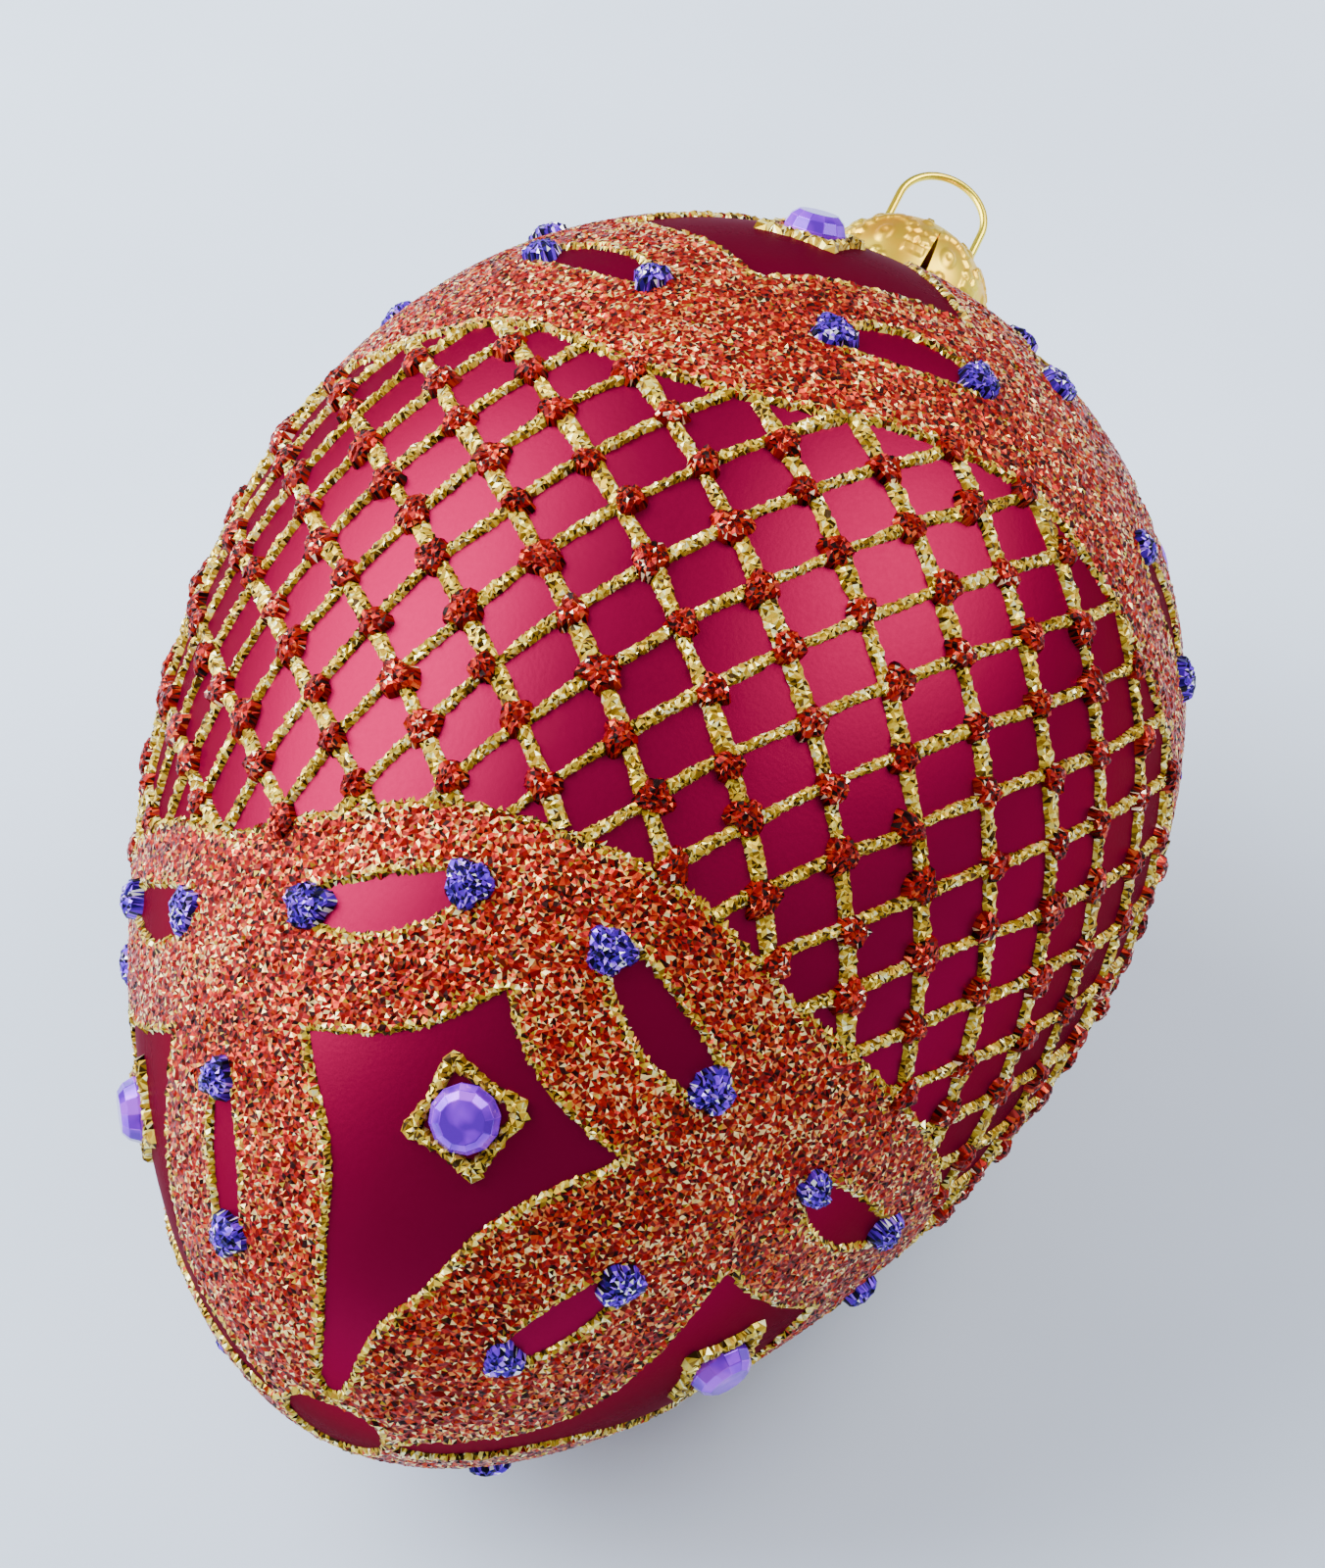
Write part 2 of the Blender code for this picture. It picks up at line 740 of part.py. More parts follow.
def make_net(collection, parent, surface):
    """The net of glitter lines between the two wreaths."""
    mesh = net_mesh()
    mesh.materials.append(surface)
    return link(bpy.data.objects.new("glitter_net", mesh), collection, parent)


def seat_matrix(station, turn):
    """Place on the glass: Z outwards, X along the turn, Y towards the blunt end."""
    low = on_egg(station, turn, 0.0)
    outward = (on_egg(station, turn, EGG_RADIUS) - low).normalized()
    around = Vector((-math.sin(turn), math.cos(turn), 0.0))
    upward = outward.cross(around)
    seat = Matrix((around, upward, outward)).transposed().to_4x4()
    seat.translation = low + outward * CLEARANCE
    return seat


def gem_mesh():
    """A round flat-backed stone: a girdle, a ring of facets and a table."""
    shape = bmesh.new()
    bmesh.ops.create_cone(shape, cap_ends=True, segments=GEM_SIDES, radius1=GEM_RADIUS,
                          radius2=GEM_RADIUS, depth=GEM_GIRDLE,
                          matrix=Matrix.Translation((0.0, 0.0, 0.5 * GEM_GIRDLE)))
    top = [face for face in shape.faces if face.normal.z > 0.5]
    grown = bmesh.ops.extrude_face_region(shape, geom=top)
    bmesh.ops.delete(shape, geom=top, context="FACES_ONLY")
    raised = [item for item in grown["geom"] if isinstance(item, bmesh.types.BMVert)]
    bmesh.ops.scale(shape, vec=(GEM_TABLE, GEM_TABLE, 1.0), verts=raised)
    bmesh.ops.translate(shape, vec=(0.0, 0.0, GEM_HEIGHT - GEM_GIRDLE), verts=raised)
    bmesh.ops.recalc_face_normals(shape, faces=shape.faces)
    mesh = bpy.data.meshes.new("gem")
    shape.to_mesh(mesh)
    shape.free()
    return mesh


def frame_mesh(station, turn):
    """The four-pointed line of glitter round a gem, a ridge that follows the glass."""
    shape = bmesh.new()
    radius = profile_radius(station)
    run = math.hypot(*profile_slopes(station))
    waist = GEM_RADIUS + CLEARANCE + 0.5 * FRAME_WIDTH
    rings = []
    for index in range(8):
        angle = math.pi * (index + 1) / 4.0
        tip = index % 2 == 0
        middle = GEM_RADIUS + FRAME_POINT - 0.5 * FRAME_WIDTH if tip else waist
        half = (TIP_HALF if tip else SIDE_HALF) * FRAME_WIDTH
        ring = []
        for reach, height in ((middle - half, 0.0), (middle + half, 0.0), (middle, FRAME_HEIGHT)):
            place = (station + reach * math.sin(angle) / run, turn + reach * math.cos(angle) / radius)
            ring.append(shape.verts.new(on_egg(*place, CLEARANCE + height)))
        rings.append(ring)
    for index, ring in enumerate(rings):
        following = rings[(index + 1) % len(rings)]
        for corner in range(3):
            after = (corner + 1) % 3
            shape.faces.new((ring[corner], ring[after], following[after], following[corner]))
    bmesh.ops.triangulate(shape, faces=shape.faces)
    bmesh.ops.recalc_face_normals(shape, faces=shape.faces)
    mesh = bpy.data.meshes.new("gem_frame")
    shape.to_mesh(mesh)
    shape.free()
    return mesh


def make_gems(collection, parent, stone, glitter):
    """Four gems at each end, each in its window, with the glitter line round it."""
    cut_stone = gem_mesh()
    cut_stone.materials.append(stone)
    for end, design in WREATHS.items():
        for index in range(4):
            station = end_station(end, design["gem"])
            turn = PATTERN_TURN + math.radians(design["turn"]) + index * QUARTER
            gem = bpy.data.objects.new(f"gem_{end}_{index + 1}", cut_stone)
            link(gem, collection, parent)
            gem.matrix_local = seat_matrix(station, turn)
            frame = frame_mesh(station, turn)
            frame.materials.append(glitter)
            link(bpy.data.objects.new(f"gem_frame_{end}_{index + 1}", frame), collection, parent)


def main():
    """Build the whole ornament."""
    clear_scene()
    collection = bpy.data.collections.new("jewelled_egg")
    cutters = bpy.data.collections.new("cutters")
    bpy.context.scene.collection.children.link(collection)
    bpy.context.scene.collection.children.link(cutters)
    carrier = link(bpy.data.objects.new("egg_axis", None), collection)
    carrier.matrix_world = REST
    glass = material("red lacquered glass", (0.22, 0.006, 0.035), 0.35, 0.6)
    gold_sheet = material("gold sheet", (0.85, 0.56, 0.18), 0.3, 1.0)
    gold_wire = material("gold wire", (0.88, 0.72, 0.36), 0.25, 1.0)
    copper_glitter = material("copper glitter", (0.62, 0.2, 0.07), 0.5, 0.5)
    gold_glitter = material("gold glitter", (0.75, 0.55, 0.2), 0.5, 0.5)
    violet_stone = material("violet stone", (0.2, 0.05, 0.6), 0.1)
    make_glass(collection, cutters, carrier, glass)
    make_cap(collection, cutters, carrier, gold_sheet)
    make_hanger(collection, carrier, gold_wire)
    for end, design in WREATHS.items():
        make_wreath(end, design, collection, carrier, copper_glitter)
    make_net(collection, carrier, gold_glitter)
    make_gems(collection, carrier, violet_stone, gold_glitter)


main()
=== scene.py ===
"""Jewelled egg, the looks: satin burgundy glass under copper, gold, red and violet glitter.

The glitter is loose grains on glue, so its pieces are drawn in mesh code: points are strewn
over the egg, joined into small flat facets and raised by their distance from the nearest edge.
The glass is spun, the stones are extruded and bevelled, the wire is a curve made a mesh, and
the cap is a pressed grid thickened into sheet.
All places on the egg are (station, turn): station runs from 0 at the pointed pole to pi at the
blunt pole, and turn is the angle round the axis from the middle of the front window. The
outlines of each end lie in its own flat plan: turn, and depth from that end's pole.
"""

import math

import bpy
import numpy as np
from mathutils import Matrix, Vector, kdtree
from mathutils.geometry import delaunay_2d_cdt


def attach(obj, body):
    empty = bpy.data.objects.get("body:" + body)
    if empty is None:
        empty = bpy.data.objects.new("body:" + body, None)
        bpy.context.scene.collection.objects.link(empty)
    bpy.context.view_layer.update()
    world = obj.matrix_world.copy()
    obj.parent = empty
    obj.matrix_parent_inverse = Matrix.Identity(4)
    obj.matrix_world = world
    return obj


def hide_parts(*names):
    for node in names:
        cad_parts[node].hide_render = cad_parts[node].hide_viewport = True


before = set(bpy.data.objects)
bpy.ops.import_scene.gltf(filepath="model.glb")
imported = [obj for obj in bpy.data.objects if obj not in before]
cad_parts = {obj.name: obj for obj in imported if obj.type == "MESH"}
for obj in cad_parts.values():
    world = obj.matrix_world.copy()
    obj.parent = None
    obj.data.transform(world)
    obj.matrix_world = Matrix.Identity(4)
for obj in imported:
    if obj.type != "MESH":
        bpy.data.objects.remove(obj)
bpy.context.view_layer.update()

MM = 0.001
TAU = 2.0 * math.pi

# The egg, as in the part's own source
EGG_LENGTH = 124.0 * MM
EGG_RADIUS = 45.0 * MM
EGG_FULLNESS = 0.224
WALL = 1.2 * MM
NECK_RADIUS = 6.2 * MM
NECK_HEIGHT = 8.0 * MM
NECK_BLEND = 2.0 * MM
REST_TILT = math.radians(9.0)
FLAT_RADIUS = 6.5 * MM
PATTERN_TURN = math.radians(192.35)
CLEARANCE = 0.3 * MM
CAP_SHEET = 0.4 * MM
CAP_RADIUS = NECK_RADIUS + 2.7 * MM + CAP_SHEET
CAP_SKIRT = 7.9 * MM
CAP_SLITS = 4
CAP_SLIT_TURN = math.radians(11.0)
CAP_SLIT_RISE = math.radians(28.0)
CAP_SLIT_HALF = 0.75 * MM
WIRE_DIAMETER = 0.85 * MM
LOOP_RADIUS = 4.7 * MM
LOOP_HEIGHT = 5.1 * MM
LOOP_TURN = math.radians(96.7)
LEG_SPLAY = 2.5 * MM
LEG_TAIL = 6.0 * MM

# Grains: one grain, how deep the foot of an edge sits in the lacquer, and the least height of
# a grain over the floor
GRAIN = 0.38 * MM
ROOT = -0.12 * MM
LEAST_HEIGHT = 0.03 * MM

# Wreaths: the gold piping along every edge, which fades into the copper fill by the millimetre
PIPING = 0.95 * MM
PIPING_HEIGHT = 0.46 * MM
RIDGE_HALF = 0.55 * PIPING
FILL_HEIGHT = 0.36 * MM
WREATH_ROUGH = 0.13 * MM
GOLD_AT_EDGE = 1.15
GOLD_FADE = 0.85
GOLD_SHARES = (0.05, 0.9)

# How a wreath's grains are strewn: along an edge and in the low fringe beside it in shares of
# two steps of the edge, and between the edges in shares of a grain
EDGE_STRAY = 0.28
FRINGE_LEAD = 0.25
FRINGE = (0.18, 0.3)
FRINGE_RISE = 0.6
FRINGE_GAP = 0.1
FILL_GAP = 0.7
RING_STEP = 0.87
RING_STRAY = 0.32
RING_DEPTHS = {"pointed": (0.09, 1.32), "blunt": (0.25, 1.32)}

# First depth, last depth and count of the steps in which the flat plan is stretched
PLAN_DEPTHS = (0.02, 1.45, 400)

# Length of a slit as a share of the way between its tips, then the unsteadiness of each kind
# of line in radians
SLIT_REACH = 1.1
RIM_WOBBLE = 0.006
HOLE_WOBBLE = 0.004
WINDOW_WOBBLE = 0.006
SLIT_WOBBLE = 0.003

# Net: two families of strands, as (turn, station) of one crossing and of the steps to the next,
# with the number of lines in each family
NET_START = (math.radians(11.4), 1.555)
NET_DOWN = (math.radians(5.516), -0.0639)
NET_LINES = (39, 25)
NET_UP = ((TAU - NET_LINES[0] * NET_DOWN[0]) / NET_LINES[1],
          -NET_LINES[0] * NET_DOWN[1] / NET_LINES[1])
NET_STATIONS = (1.0, 2.15)
NET_STEPS = 300
NET_OVERLAP = 0.01
NET_FLOOR = 0.5 * MM
LINE_WAVE = 0.0045
WIDTH_WAVE = 0.17
LEAST_RUN = 6
ACROSS_WIDTH = 1.15 * MM
DOWN_WIDTH = 1.6 * MM

# A strand's section, as shares of its half width and of its height, and its roughness
STRAND_SHARES = (-1.0, -0.72, -0.26, 0.26, 0.72, 1.0)
STRAND_RISES = (0.0, 0.78, 1.0, 1.0, 0.78, 0.0)
STRAND_HEIGHT = 0.5 * MM
ACROSS_ROUGH = 0.1 * MM
LIFT_ROUGH = 0.17 * MM
ALONG_ROUGH = 0.12 * MM

# Heaps of grains: the red dots on the net's crossings and the violet dabs on the slits' tips,
# with the steps along both families that are tried, ranges of size and stretch, how far they
# stray along and round, and the lowest glass over the floor that still has one
HEAP_RING = 0.27 * MM
HEAP_SPREAD = 0.11 * MM
HEAP_ROUGH = 0.15 * MM
HEAP_LOBES = ((3, 0.10), (5, 0.07))
HEAP_FALL = 0.85
CROSSINGS = range(-30, 70)
DOT_RADIUS = 1.68 * MM
DOT_SIZES = (0.82, 1.12)
DOT_HEIGHTS = (0.95 * MM, 1.25 * MM)
DOT_STRETCH = (0.9, 1.12)
DOT_STRAY = (0.006, 0.010)
DOT_STATIONS = (1.0, 2.2)
DOT_OVERLAP = 0.005
DOT_FLOOR = 1.2 * MM
DAB_RADIUS = 2.05 * MM
DAB_SIZES = (0.85, 1.08)
DAB_HEIGHTS = (1.3 * MM, 1.7 * MM)
DAB_STRETCH = (0.9, 1.1)
DAB_STRAY = (0.004, 0.008)
DAB_FLOOR = 1.5 * MM

# Stones: the girdle, (rise, width left) of each ring of facets above it, and the range of the
# painted reflection, a random lightness that each facet is given
GEM_SIDES = 12
GEM_RADIUS = 2.95 * MM
GEM_GIRDLE = 0.55 * MM
GEM_CROWN = ((0.95 * MM, 0.86), (0.55 * MM, 0.74))
GEM_EDGE = 0.05 * MM
GEM_LIFT = 0.15 * MM
FACET_REFLECTION_TONES = (-0.2, 0.16)

# The four-pointed line of glitter round each stone, narrow at its waists and wide at its tips
FRAME_REACH = 4.75 * MM
FRAME_WAIST = GEM_RADIUS + 0.25 * MM
FRAME_WIDTHS = (1.0 * MM, 1.75 * MM)
FRAME_HEIGHT = 0.7 * MM
FRAME_TURN = math.pi / 4 - 0.19
FRAME_STEPS = 22
FRAME_STRAY = 0.08 * MM
FRAME_WAVE = 0.06

# Distances under which points are taken as one, in a turned, a cut or a joined mesh
SPUN_MERGE = 0.002 * MM
CUT_MERGE = 0.001 * MM
CAP_MERGE = 0.005 * MM

# The wire's loop, and the cap's sheet as rows along it and columns in each quarter, a little
# inside the solid cap, with its crown closed
LOOP_STEPS = 32
CAP_ROWS = 118
CAP_COLUMNS = 90
CAP_INSET = 0.15 * MM
PRESSED_SHEET = 0.25 * MM
SLIT_TAPER = 0.8
CROWN_HOLE = 0.3 * MM

# The cap's pressing: arches of squares, each over a hollowed oval, a flower and rows of
# squares, with an oval, a stud and three squares between two arches. A place is (along the
# sheet from its rim, round it from the pattern's middle), and a size is (along, round)
PRESS_HEIGHT = 0.27 * MM
SQUARE_SLOPE = 1.35
SQUARE_TOP = 0.45
ROUND_FALL = 0.7
ARCHES = 8
ARCH_REACH = 0.62
ARCH_SPRING = 8.3 * MM
ARCH_RISE = 5.0 * MM
ARCH_HALF = 3.1 * MM
ARCH_SQUARES = 11
ARCH_SQUARE = (0.72 * MM, 0.68 * MM)
OVAL_PLACE = (9.6 * MM, 0.0)
OVAL_SIZE = (1.5 * MM, 0.95 * MM)
HOLLOW_SIZE = (0.5 * MM, 0.4 * MM)
HOLLOW_SHARE = 0.6
FLOWER_PLACE = 6.0 * MM
PETALS = 5
PETAL_REACH = 0.85 * MM
PETAL_SIZE = (0.55 * MM, 0.55 * MM)
ROWS = ((2.2 * MM, 8), (3.6 * MM, 7))
ROW_WIDTH = 7.3 * MM
ROW_SQUARE = (0.55 * MM, 0.42 * MM)
GAP_REACH = 0.3
GAP_STAMPS = [((14.4 * MM, 0.0), (0.9 * MM, 0.7 * MM)), ((5.0 * MM, 0.0), (0.8 * MM, 0.8 * MM))]
GAP_STAMPS += [(((16.3 + 1.5 * index) * MM, 0.0), (0.5 * MM, 0.45 * MM), True)
               for index in range(3)]

# Soft lights, as (name, direction from the egg's middle, distance, size, power, colour)
EGG_MIDDLE = (-0.0074, 0.0, 0.044)
LIGHTS = [
    ("window_light", (0.396, -0.573, 0.718), 0.7, (0.46, 0.46), 6.0, (1.0, 0.98, 0.98)),
    ("far_light", (-0.115, 0.764, 0.636), 0.55, (0.60, 0.50), 11.6, (0.92, 0.96, 1.0))]
AIR_COLOUR = (0.86, 0.90, 1.0, 1.0)
AIR_STRENGTH = 0.46

# Floor and camera, in metres
FLOOR_SIZE = 12.0
CAMERA_PLACE = (-0.21288, -0.09213, 0.30398)
CAMERA_AZIMUTH = math.radians(-66.753)
CAMERA_ELEVATION = math.radians(48.161)
CAMERA_LENS = 85.5

STREWN = np.random.default_rng(24)


def egg_slopes(station):
    """How fast radius and height grow with the station."""
    d_radius = EGG_RADIUS * (np.cos(station) - EGG_FULLNESS * np.cos(2.0 * station))
    return d_radius, 0.5 * EGG_LENGTH * np.sin(station)


def egg_radius(station):
    """Radius of the glass at a station."""
    return EGG_RADIUS * np.sin(station) * (1.0 - EGG_FULLNESS * np.cos(station))


def egg_offset(station, lift):
    """(radius, height) of the glass outline moved outwards by a lift."""
    d_radius, d_height = egg_slopes(station)
    run = np.hypot(d_radius, d_height)
    radius = egg_radius(station) + lift * d_height / run
    return radius, -0.5 * EGG_LENGTH * np.cos(station) - lift * d_radius / run


def radian_lengths(station):
    """Real length of a radian along the glass outline, and of one round the axis."""
    return float(np.hypot(*egg_slopes(station))), float(egg_radius(station))


def halved(low, high, is_low):
    """The value between two where a test turns, found by halving."""
    for _ in range(60):
        middle = 0.5 * (low + high)
        if is_low(middle):
            low = middle
        else:
            high = middle
    return 0.5 * (low + high)


def leans_more(station):
    """Whether the glass leans more than the rest's tilt at a station."""
    d_radius, d_height = egg_slopes(station)
    return math.atan2(d_radius, d_height) > REST_TILT


def depth_of_radius(end, radius):
    """Depth from an end's own pole where the glass has a radius."""
    return halved(0.0, 0.4 * math.pi, lambda depth: egg_radius(end_station(end, depth)) < radius)


def end_station(end, depth):
    """Station of a depth from an end's own pole."""
    return depth if end == "pointed" else math.pi - depth


REST_STATION = halved(0.3, math.pi - 0.3, leans_more)
FLAT_DEPTH = FLAT_RADIUS ** 2 / (2.0 * float(egg_radius(REST_STATION)))
LAY = Matrix.Rotation(math.pi / 2 - REST_TILT, 4, "Y")
REST_RADIUS, REST_HEIGHT = (float(value) for value in egg_offset(REST_STATION, 0.0))
TOUCH = LAY @ Vector((REST_RADIUS, 0.0, REST_HEIGHT))
REST = Matrix.Translation((-TOUCH.x, -TOUCH.y, -TOUCH.z - FLAT_DEPTH)) @ LAY
REST_GRID = np.array(REST)

NECK_STATION = end_station("blunt", depth_of_radius("blunt", NECK_RADIUS + NECK_BLEND))
CAP_STATION = end_station("blunt", depth_of_radius("blunt", CAP_RADIUS))
CAP_RIM = -0.5 * EGG_LENGTH * math.cos(CAP_STATION) + CLEARANCE + 0.5 * CAP_SHEET
CAP_SPRING = CAP_RIM + CAP_SKIRT
MOUTH_HEIGHT = 0.5 * EGG_LENGTH + NECK_HEIGHT


def laid(radius, turn, height):
    """Points of the upright egg, laid down as it rests."""
    spin = turn + PATTERN_TURN
    upright = np.stack([radius * np.cos(spin), radius * np.sin(spin), height], axis=-1)
    return upright @ REST_GRID[:3, :3].T + REST_GRID[:3, 3]


def on_egg(station, turn, lift):
    """Points above the glass; turn in radians from the front window."""
    radius, height = egg_offset(station, lift)
    return laid(radius, turn, height)


def rough(own, size, count):
    """Random steps to both sides, up to a size."""
    return own.uniform(-size, size, count)


def off_the_floor(points):
    """The points with none lower than a grain may lie."""
    points[:, 2] = np.maximum(points[:, 2], LEAST_HEIGHT)
    return points


def active():
    """The object that an operator has just made."""
    return bpy.context.active_object


def let_go():
    """Deselect everything."""
    bpy.ops.object.select_all(action="DESELECT")


def pick(thing):
    """Select one object alone, and make it the active one."""
    let_go()
    thing.select_set(True)
    bpy.context.view_layer.objects.active = thing


def place_in_mesh(thing):
    """Finish a piece: its place goes into its mesh, at the origin."""
    pick(thing)
    bpy.ops.object.transform_apply(location=True, rotation=True, scale=True)


def rides(thing, slot, *nodes):
    """The piece belongs to the egg and stands for CAD nodes, which it hides; its slot is not used.
    """
    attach(thing, "root")
    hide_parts(*nodes)


def piece_of(name, points, faces, surface, **fields):
    """A mesh piece from arrays of points and faces, with named numbers on its faces."""
    mesh = bpy.data.meshes.new(name)
    mesh.from_pydata(points.tolist(), [], faces.tolist())
    for field, values in fields.items():
        layer = mesh.attributes.new(field, "FLOAT", "FACE")
        layer.data.foreach_set("value", np.asarray(values, dtype=np.float32))
    mesh.materials.append(surface)
    mesh.update()
    thing = bpy.data.objects.new(name, mesh)
    bpy.context.scene.collection.objects.link(thing)
    return thing


class Finish:
    """A node material in the making: its shader, and short ways to add and join nodes."""

    def __init__(self, name):
        self.made = bpy.data.materials.new(name)
        self.made.use_nodes = True
        self.tree = self.made.node_tree
        self.link = self.tree.links.new

    def add(self, kind, **sockets):
        """A new node, with values on its sockets."""
        node = self.tree.nodes.new(kind)
        for socket, value in sockets.items():
            node.inputs[socket.replace("_", " ")].default_value = value
        return node

    def field(self, name):
        """A number that the piece's faces carry."""
        node = self.add("ShaderNodeAttribute")
        node.attribute_name = name
        return node.outputs["Fac"]

    def noise(self, **sockets):
        """Noise that stays where it is on the piece."""
        node = self.add("ShaderNodeTexNoise", **sockets)
        self.link(self.add("ShaderNodeTexCoord").outputs["Object"], node.inputs["Vector"])
        return node.outputs["Fac"]

    def maths(self, operation, value, clamp=False):
        """A sum or product that starts from a value; the other sockets are still free."""
        node = self.add("ShaderNodeMath")
        node.operation = operation
        node.use_clamp = clamp
        self.link(value, node.inputs[0])
        return node

    def ramp(self, value, stops, stepped=False):
        """The colour that a value picks from (place, colour) stops."""
        node = self.add("ShaderNodeValToRGB")
        colours = node.color_ramp
        colours.interpolation = "CONSTANT" if stepped else "LINEAR"
        for element, (place, colour) in zip(colours.elements, (stops[0], stops[-1])):
            element.position = place
            element.color = (*colour, 1.0)
        for place, colour in stops[1:-1]:
            colours.elements.new(place).color = (*colour, 1.0)
        self.link(value, node.inputs["Fac"])
        return node.outputs["Color"]

    def between(self, value, low, high):
        """A 0 to 1 value stretched between two numbers."""
        node = self.add("ShaderNodeMapRange", To_Min=low, To_Max=high)
        self.link(value, node.inputs["Value"])
        return node.outputs["Result"]

    def done(self, plain_colour, **sockets):
        """The material, with its shader's sockets set or joined."""
        shader = self.tree.nodes["Principled BSDF"]
        for name, value in sockets.items():
            socket = shader.inputs[name.replace("_", " ")]
            if isinstance(value, bpy.types.NodeSocket):
                self.link(value, socket)
            else:
                socket.default_value = value
        self.made.diffuse_color = (*plain_colour, 1.0)
        return self.made


def shade(red, green, blue):
    """A linear colour from the 0 to 255 values that a screen shows."""
    made = []
    for value in (red, green, blue):
        part = value / 255.0
        made.append(part / 12.92 if part < 0.04045 else ((part + 0.055) / 1.055) ** 2.4)
    return tuple(made)


# Stepped colour stops of each glitter. The stops between are the grains' own colours; the first,
# darkest stop is painted shade in the gaps between grains, and the last, palest stop is a painted
# sparkle.
GOLD_GRAINS_SHADE_GLINTS = [
    (0.0, shade(52, 32, 0)), (0.16, shade(126, 92, 6)), (0.34, shade(180, 142, 26)),
    (0.56, shade(216, 184, 56)), (0.77, shade(246, 224, 104)), (0.905, shade(255, 250, 178))]
COPPER_GRAINS_SHADE_GLINTS = [
    (0.0, shade(34, 2, 2)), (0.15, shade(112, 3, 6)), (0.40, shade(156, 16, 8)),
    (0.57, shade(100, 24, 10)), (0.68, shade(188, 54, 20)), (0.82, shade(210, 118, 54)),
    (0.925, shade(252, 214, 136))]
RED_GRAINS_SHADE_GLINTS = [
    (0.0, shade(22, 0, 0)), (0.20, shade(90, 0, 0)), (0.48, shade(136, 6, 2)),
    (0.75, shade(164, 30, 4)), (0.90, shade(206, 84, 40)), (0.97, shade(255, 220, 180))]
VIOLET_GRAINS_SHADE_GLINTS = [
    (0.0, shade(6, 0, 26)), (0.28, shade(30, 0, 92)), (0.50, shade(72, 6, 170)),
    (0.72, shade(116, 36, 226)), (0.87, shade(178, 124, 250)), (0.945, shade(252, 248, 255))]


def glitter(name, grains, rim_grains=None, patchiness=0.45):
    """Flat grains, each of a colour and gloss drawn from its stops, painted shade and painted
    sparkles among them, with another mix along the edges.
    """
    dust = Finish(name)
    grain = dust.field("grain")
    drift = dust.maths("MULTIPLY_ADD", dust.noise(Scale=90.0, Detail=3.0))
    drift.inputs[1].default_value = patchiness
    drift.inputs[2].default_value = -0.5 * patchiness
    drifted = dust.maths("ADD", grain, clamp=True)
    dust.link(drift.outputs[0], drifted.inputs[1])
    colour = dust.ramp(drifted.outputs[0], grains, stepped=True)
    if rim_grains:
        mix = dust.add("ShaderNodeMix")
        mix.data_type = "RGBA"
        dust.link(dust.field("rim"), mix.inputs["Factor"])
        dust.link(colour, mix.inputs["A"])
        dust.link(dust.ramp(grain, rim_grains, stepped=True), mix.inputs["B"])
        colour = mix.outputs["Result"]
    return dust.done(grains[2][1], Base_Color=colour, Roughness=dust.between(grain, 0.5, 0.22),
                     Metallic=0.45, Specular_IOR_Level=0.12)


def satin_glass():
    """Burgundy lacquer: a silvered glow under a satin coat, with faint clouding."""
    lacquer = Finish("satin burgundy lacquer")
    clouds = lacquer.noise(Scale=26.0, Detail=4.0)
    tint = lacquer.ramp(clouds, [(0.3, shade(121, 8, 48)), (0.7, shade(130, 11, 54))])
    specks = lacquer.noise(Scale=2600.0, Detail=2.0)
    bump = lacquer.add("ShaderNodeBump", Strength=0.05, Distance=0.0002)
    lacquer.link(specks, bump.inputs["Height"])
    return lacquer.done(shade(150, 10, 58), Base_Color=tint, Normal=bump.outputs["Normal"],
                        Roughness=lacquer.between(specks, 0.40, 0.48), Metallic=0.86,
                        Specular_Tint=(0.12, 0.02, 0.05, 1.0), Specular_IOR_Level=0.1)


def gold_metal(name, colour, dark, roughness):
    """Bright plated metal with faint stains and brushed gloss."""
    plate = Finish(name)
    stains = plate.noise(Scale=240.0, Detail=5.0)
    tint = plate.ramp(stains, [(0.32, dark), (0.62, colour)])
    gloss = plate.between(stains, roughness + 0.08, roughness - 0.05)
    return plate.done(colour, Base_Color=tint, Roughness=gloss, Metallic=1.0)


def violet_stone():
    """Foiled acrylic stone: clear violet gloss, its tone streaked by noise and made lighter or
    darker on each facet by a painted reflection.
    """
    stone = Finish("foiled violet stone")
    depth = stone.noise(Scale=300.0, Detail=2.0, Distortion=0.4)
    # The tone is streaky noise plus each facet's painted reflection
    glow = stone.maths("ADD", depth)
    stone.link(stone.field("facet_reflection"), glow.inputs[1])
    tint = stone.ramp(glow.outputs[0], [(0.34, shade(92, 0, 180)), (0.50, shade(138, 8, 238)),
                                        (0.64, shade(180, 62, 255))])
    return stone.done(shade(108, 62, 226), Base_Color=tint, Roughness=0.12, Metallic=0.3,
                      Specular_IOR_Level=0.12, Coat_Weight=0.25, Coat_Roughness=0.04)


def pale_cloth():
    """The plain pale floor, with the faintest mottling."""
    cloth = Finish("pale floor cloth")
    mottle = cloth.noise(Scale=14.0, Detail=6.0)
    pale = shade(214, 228, 246)
    tint = cloth.ramp(mottle, [(0.35, shade(208, 222, 240)), (0.65, pale)])
    return cloth.done(pale, Base_Color=tint, Roughness=0.9, Specular_IOR_Level=0.1)


def flat(turn, depth):
    """Place in an end's flat plan, where the pole is the middle; turn in degrees."""
    angle = np.radians(turn)
    return np.stack([depth * np.sin(angle), depth * np.cos(angle)], axis=-1)


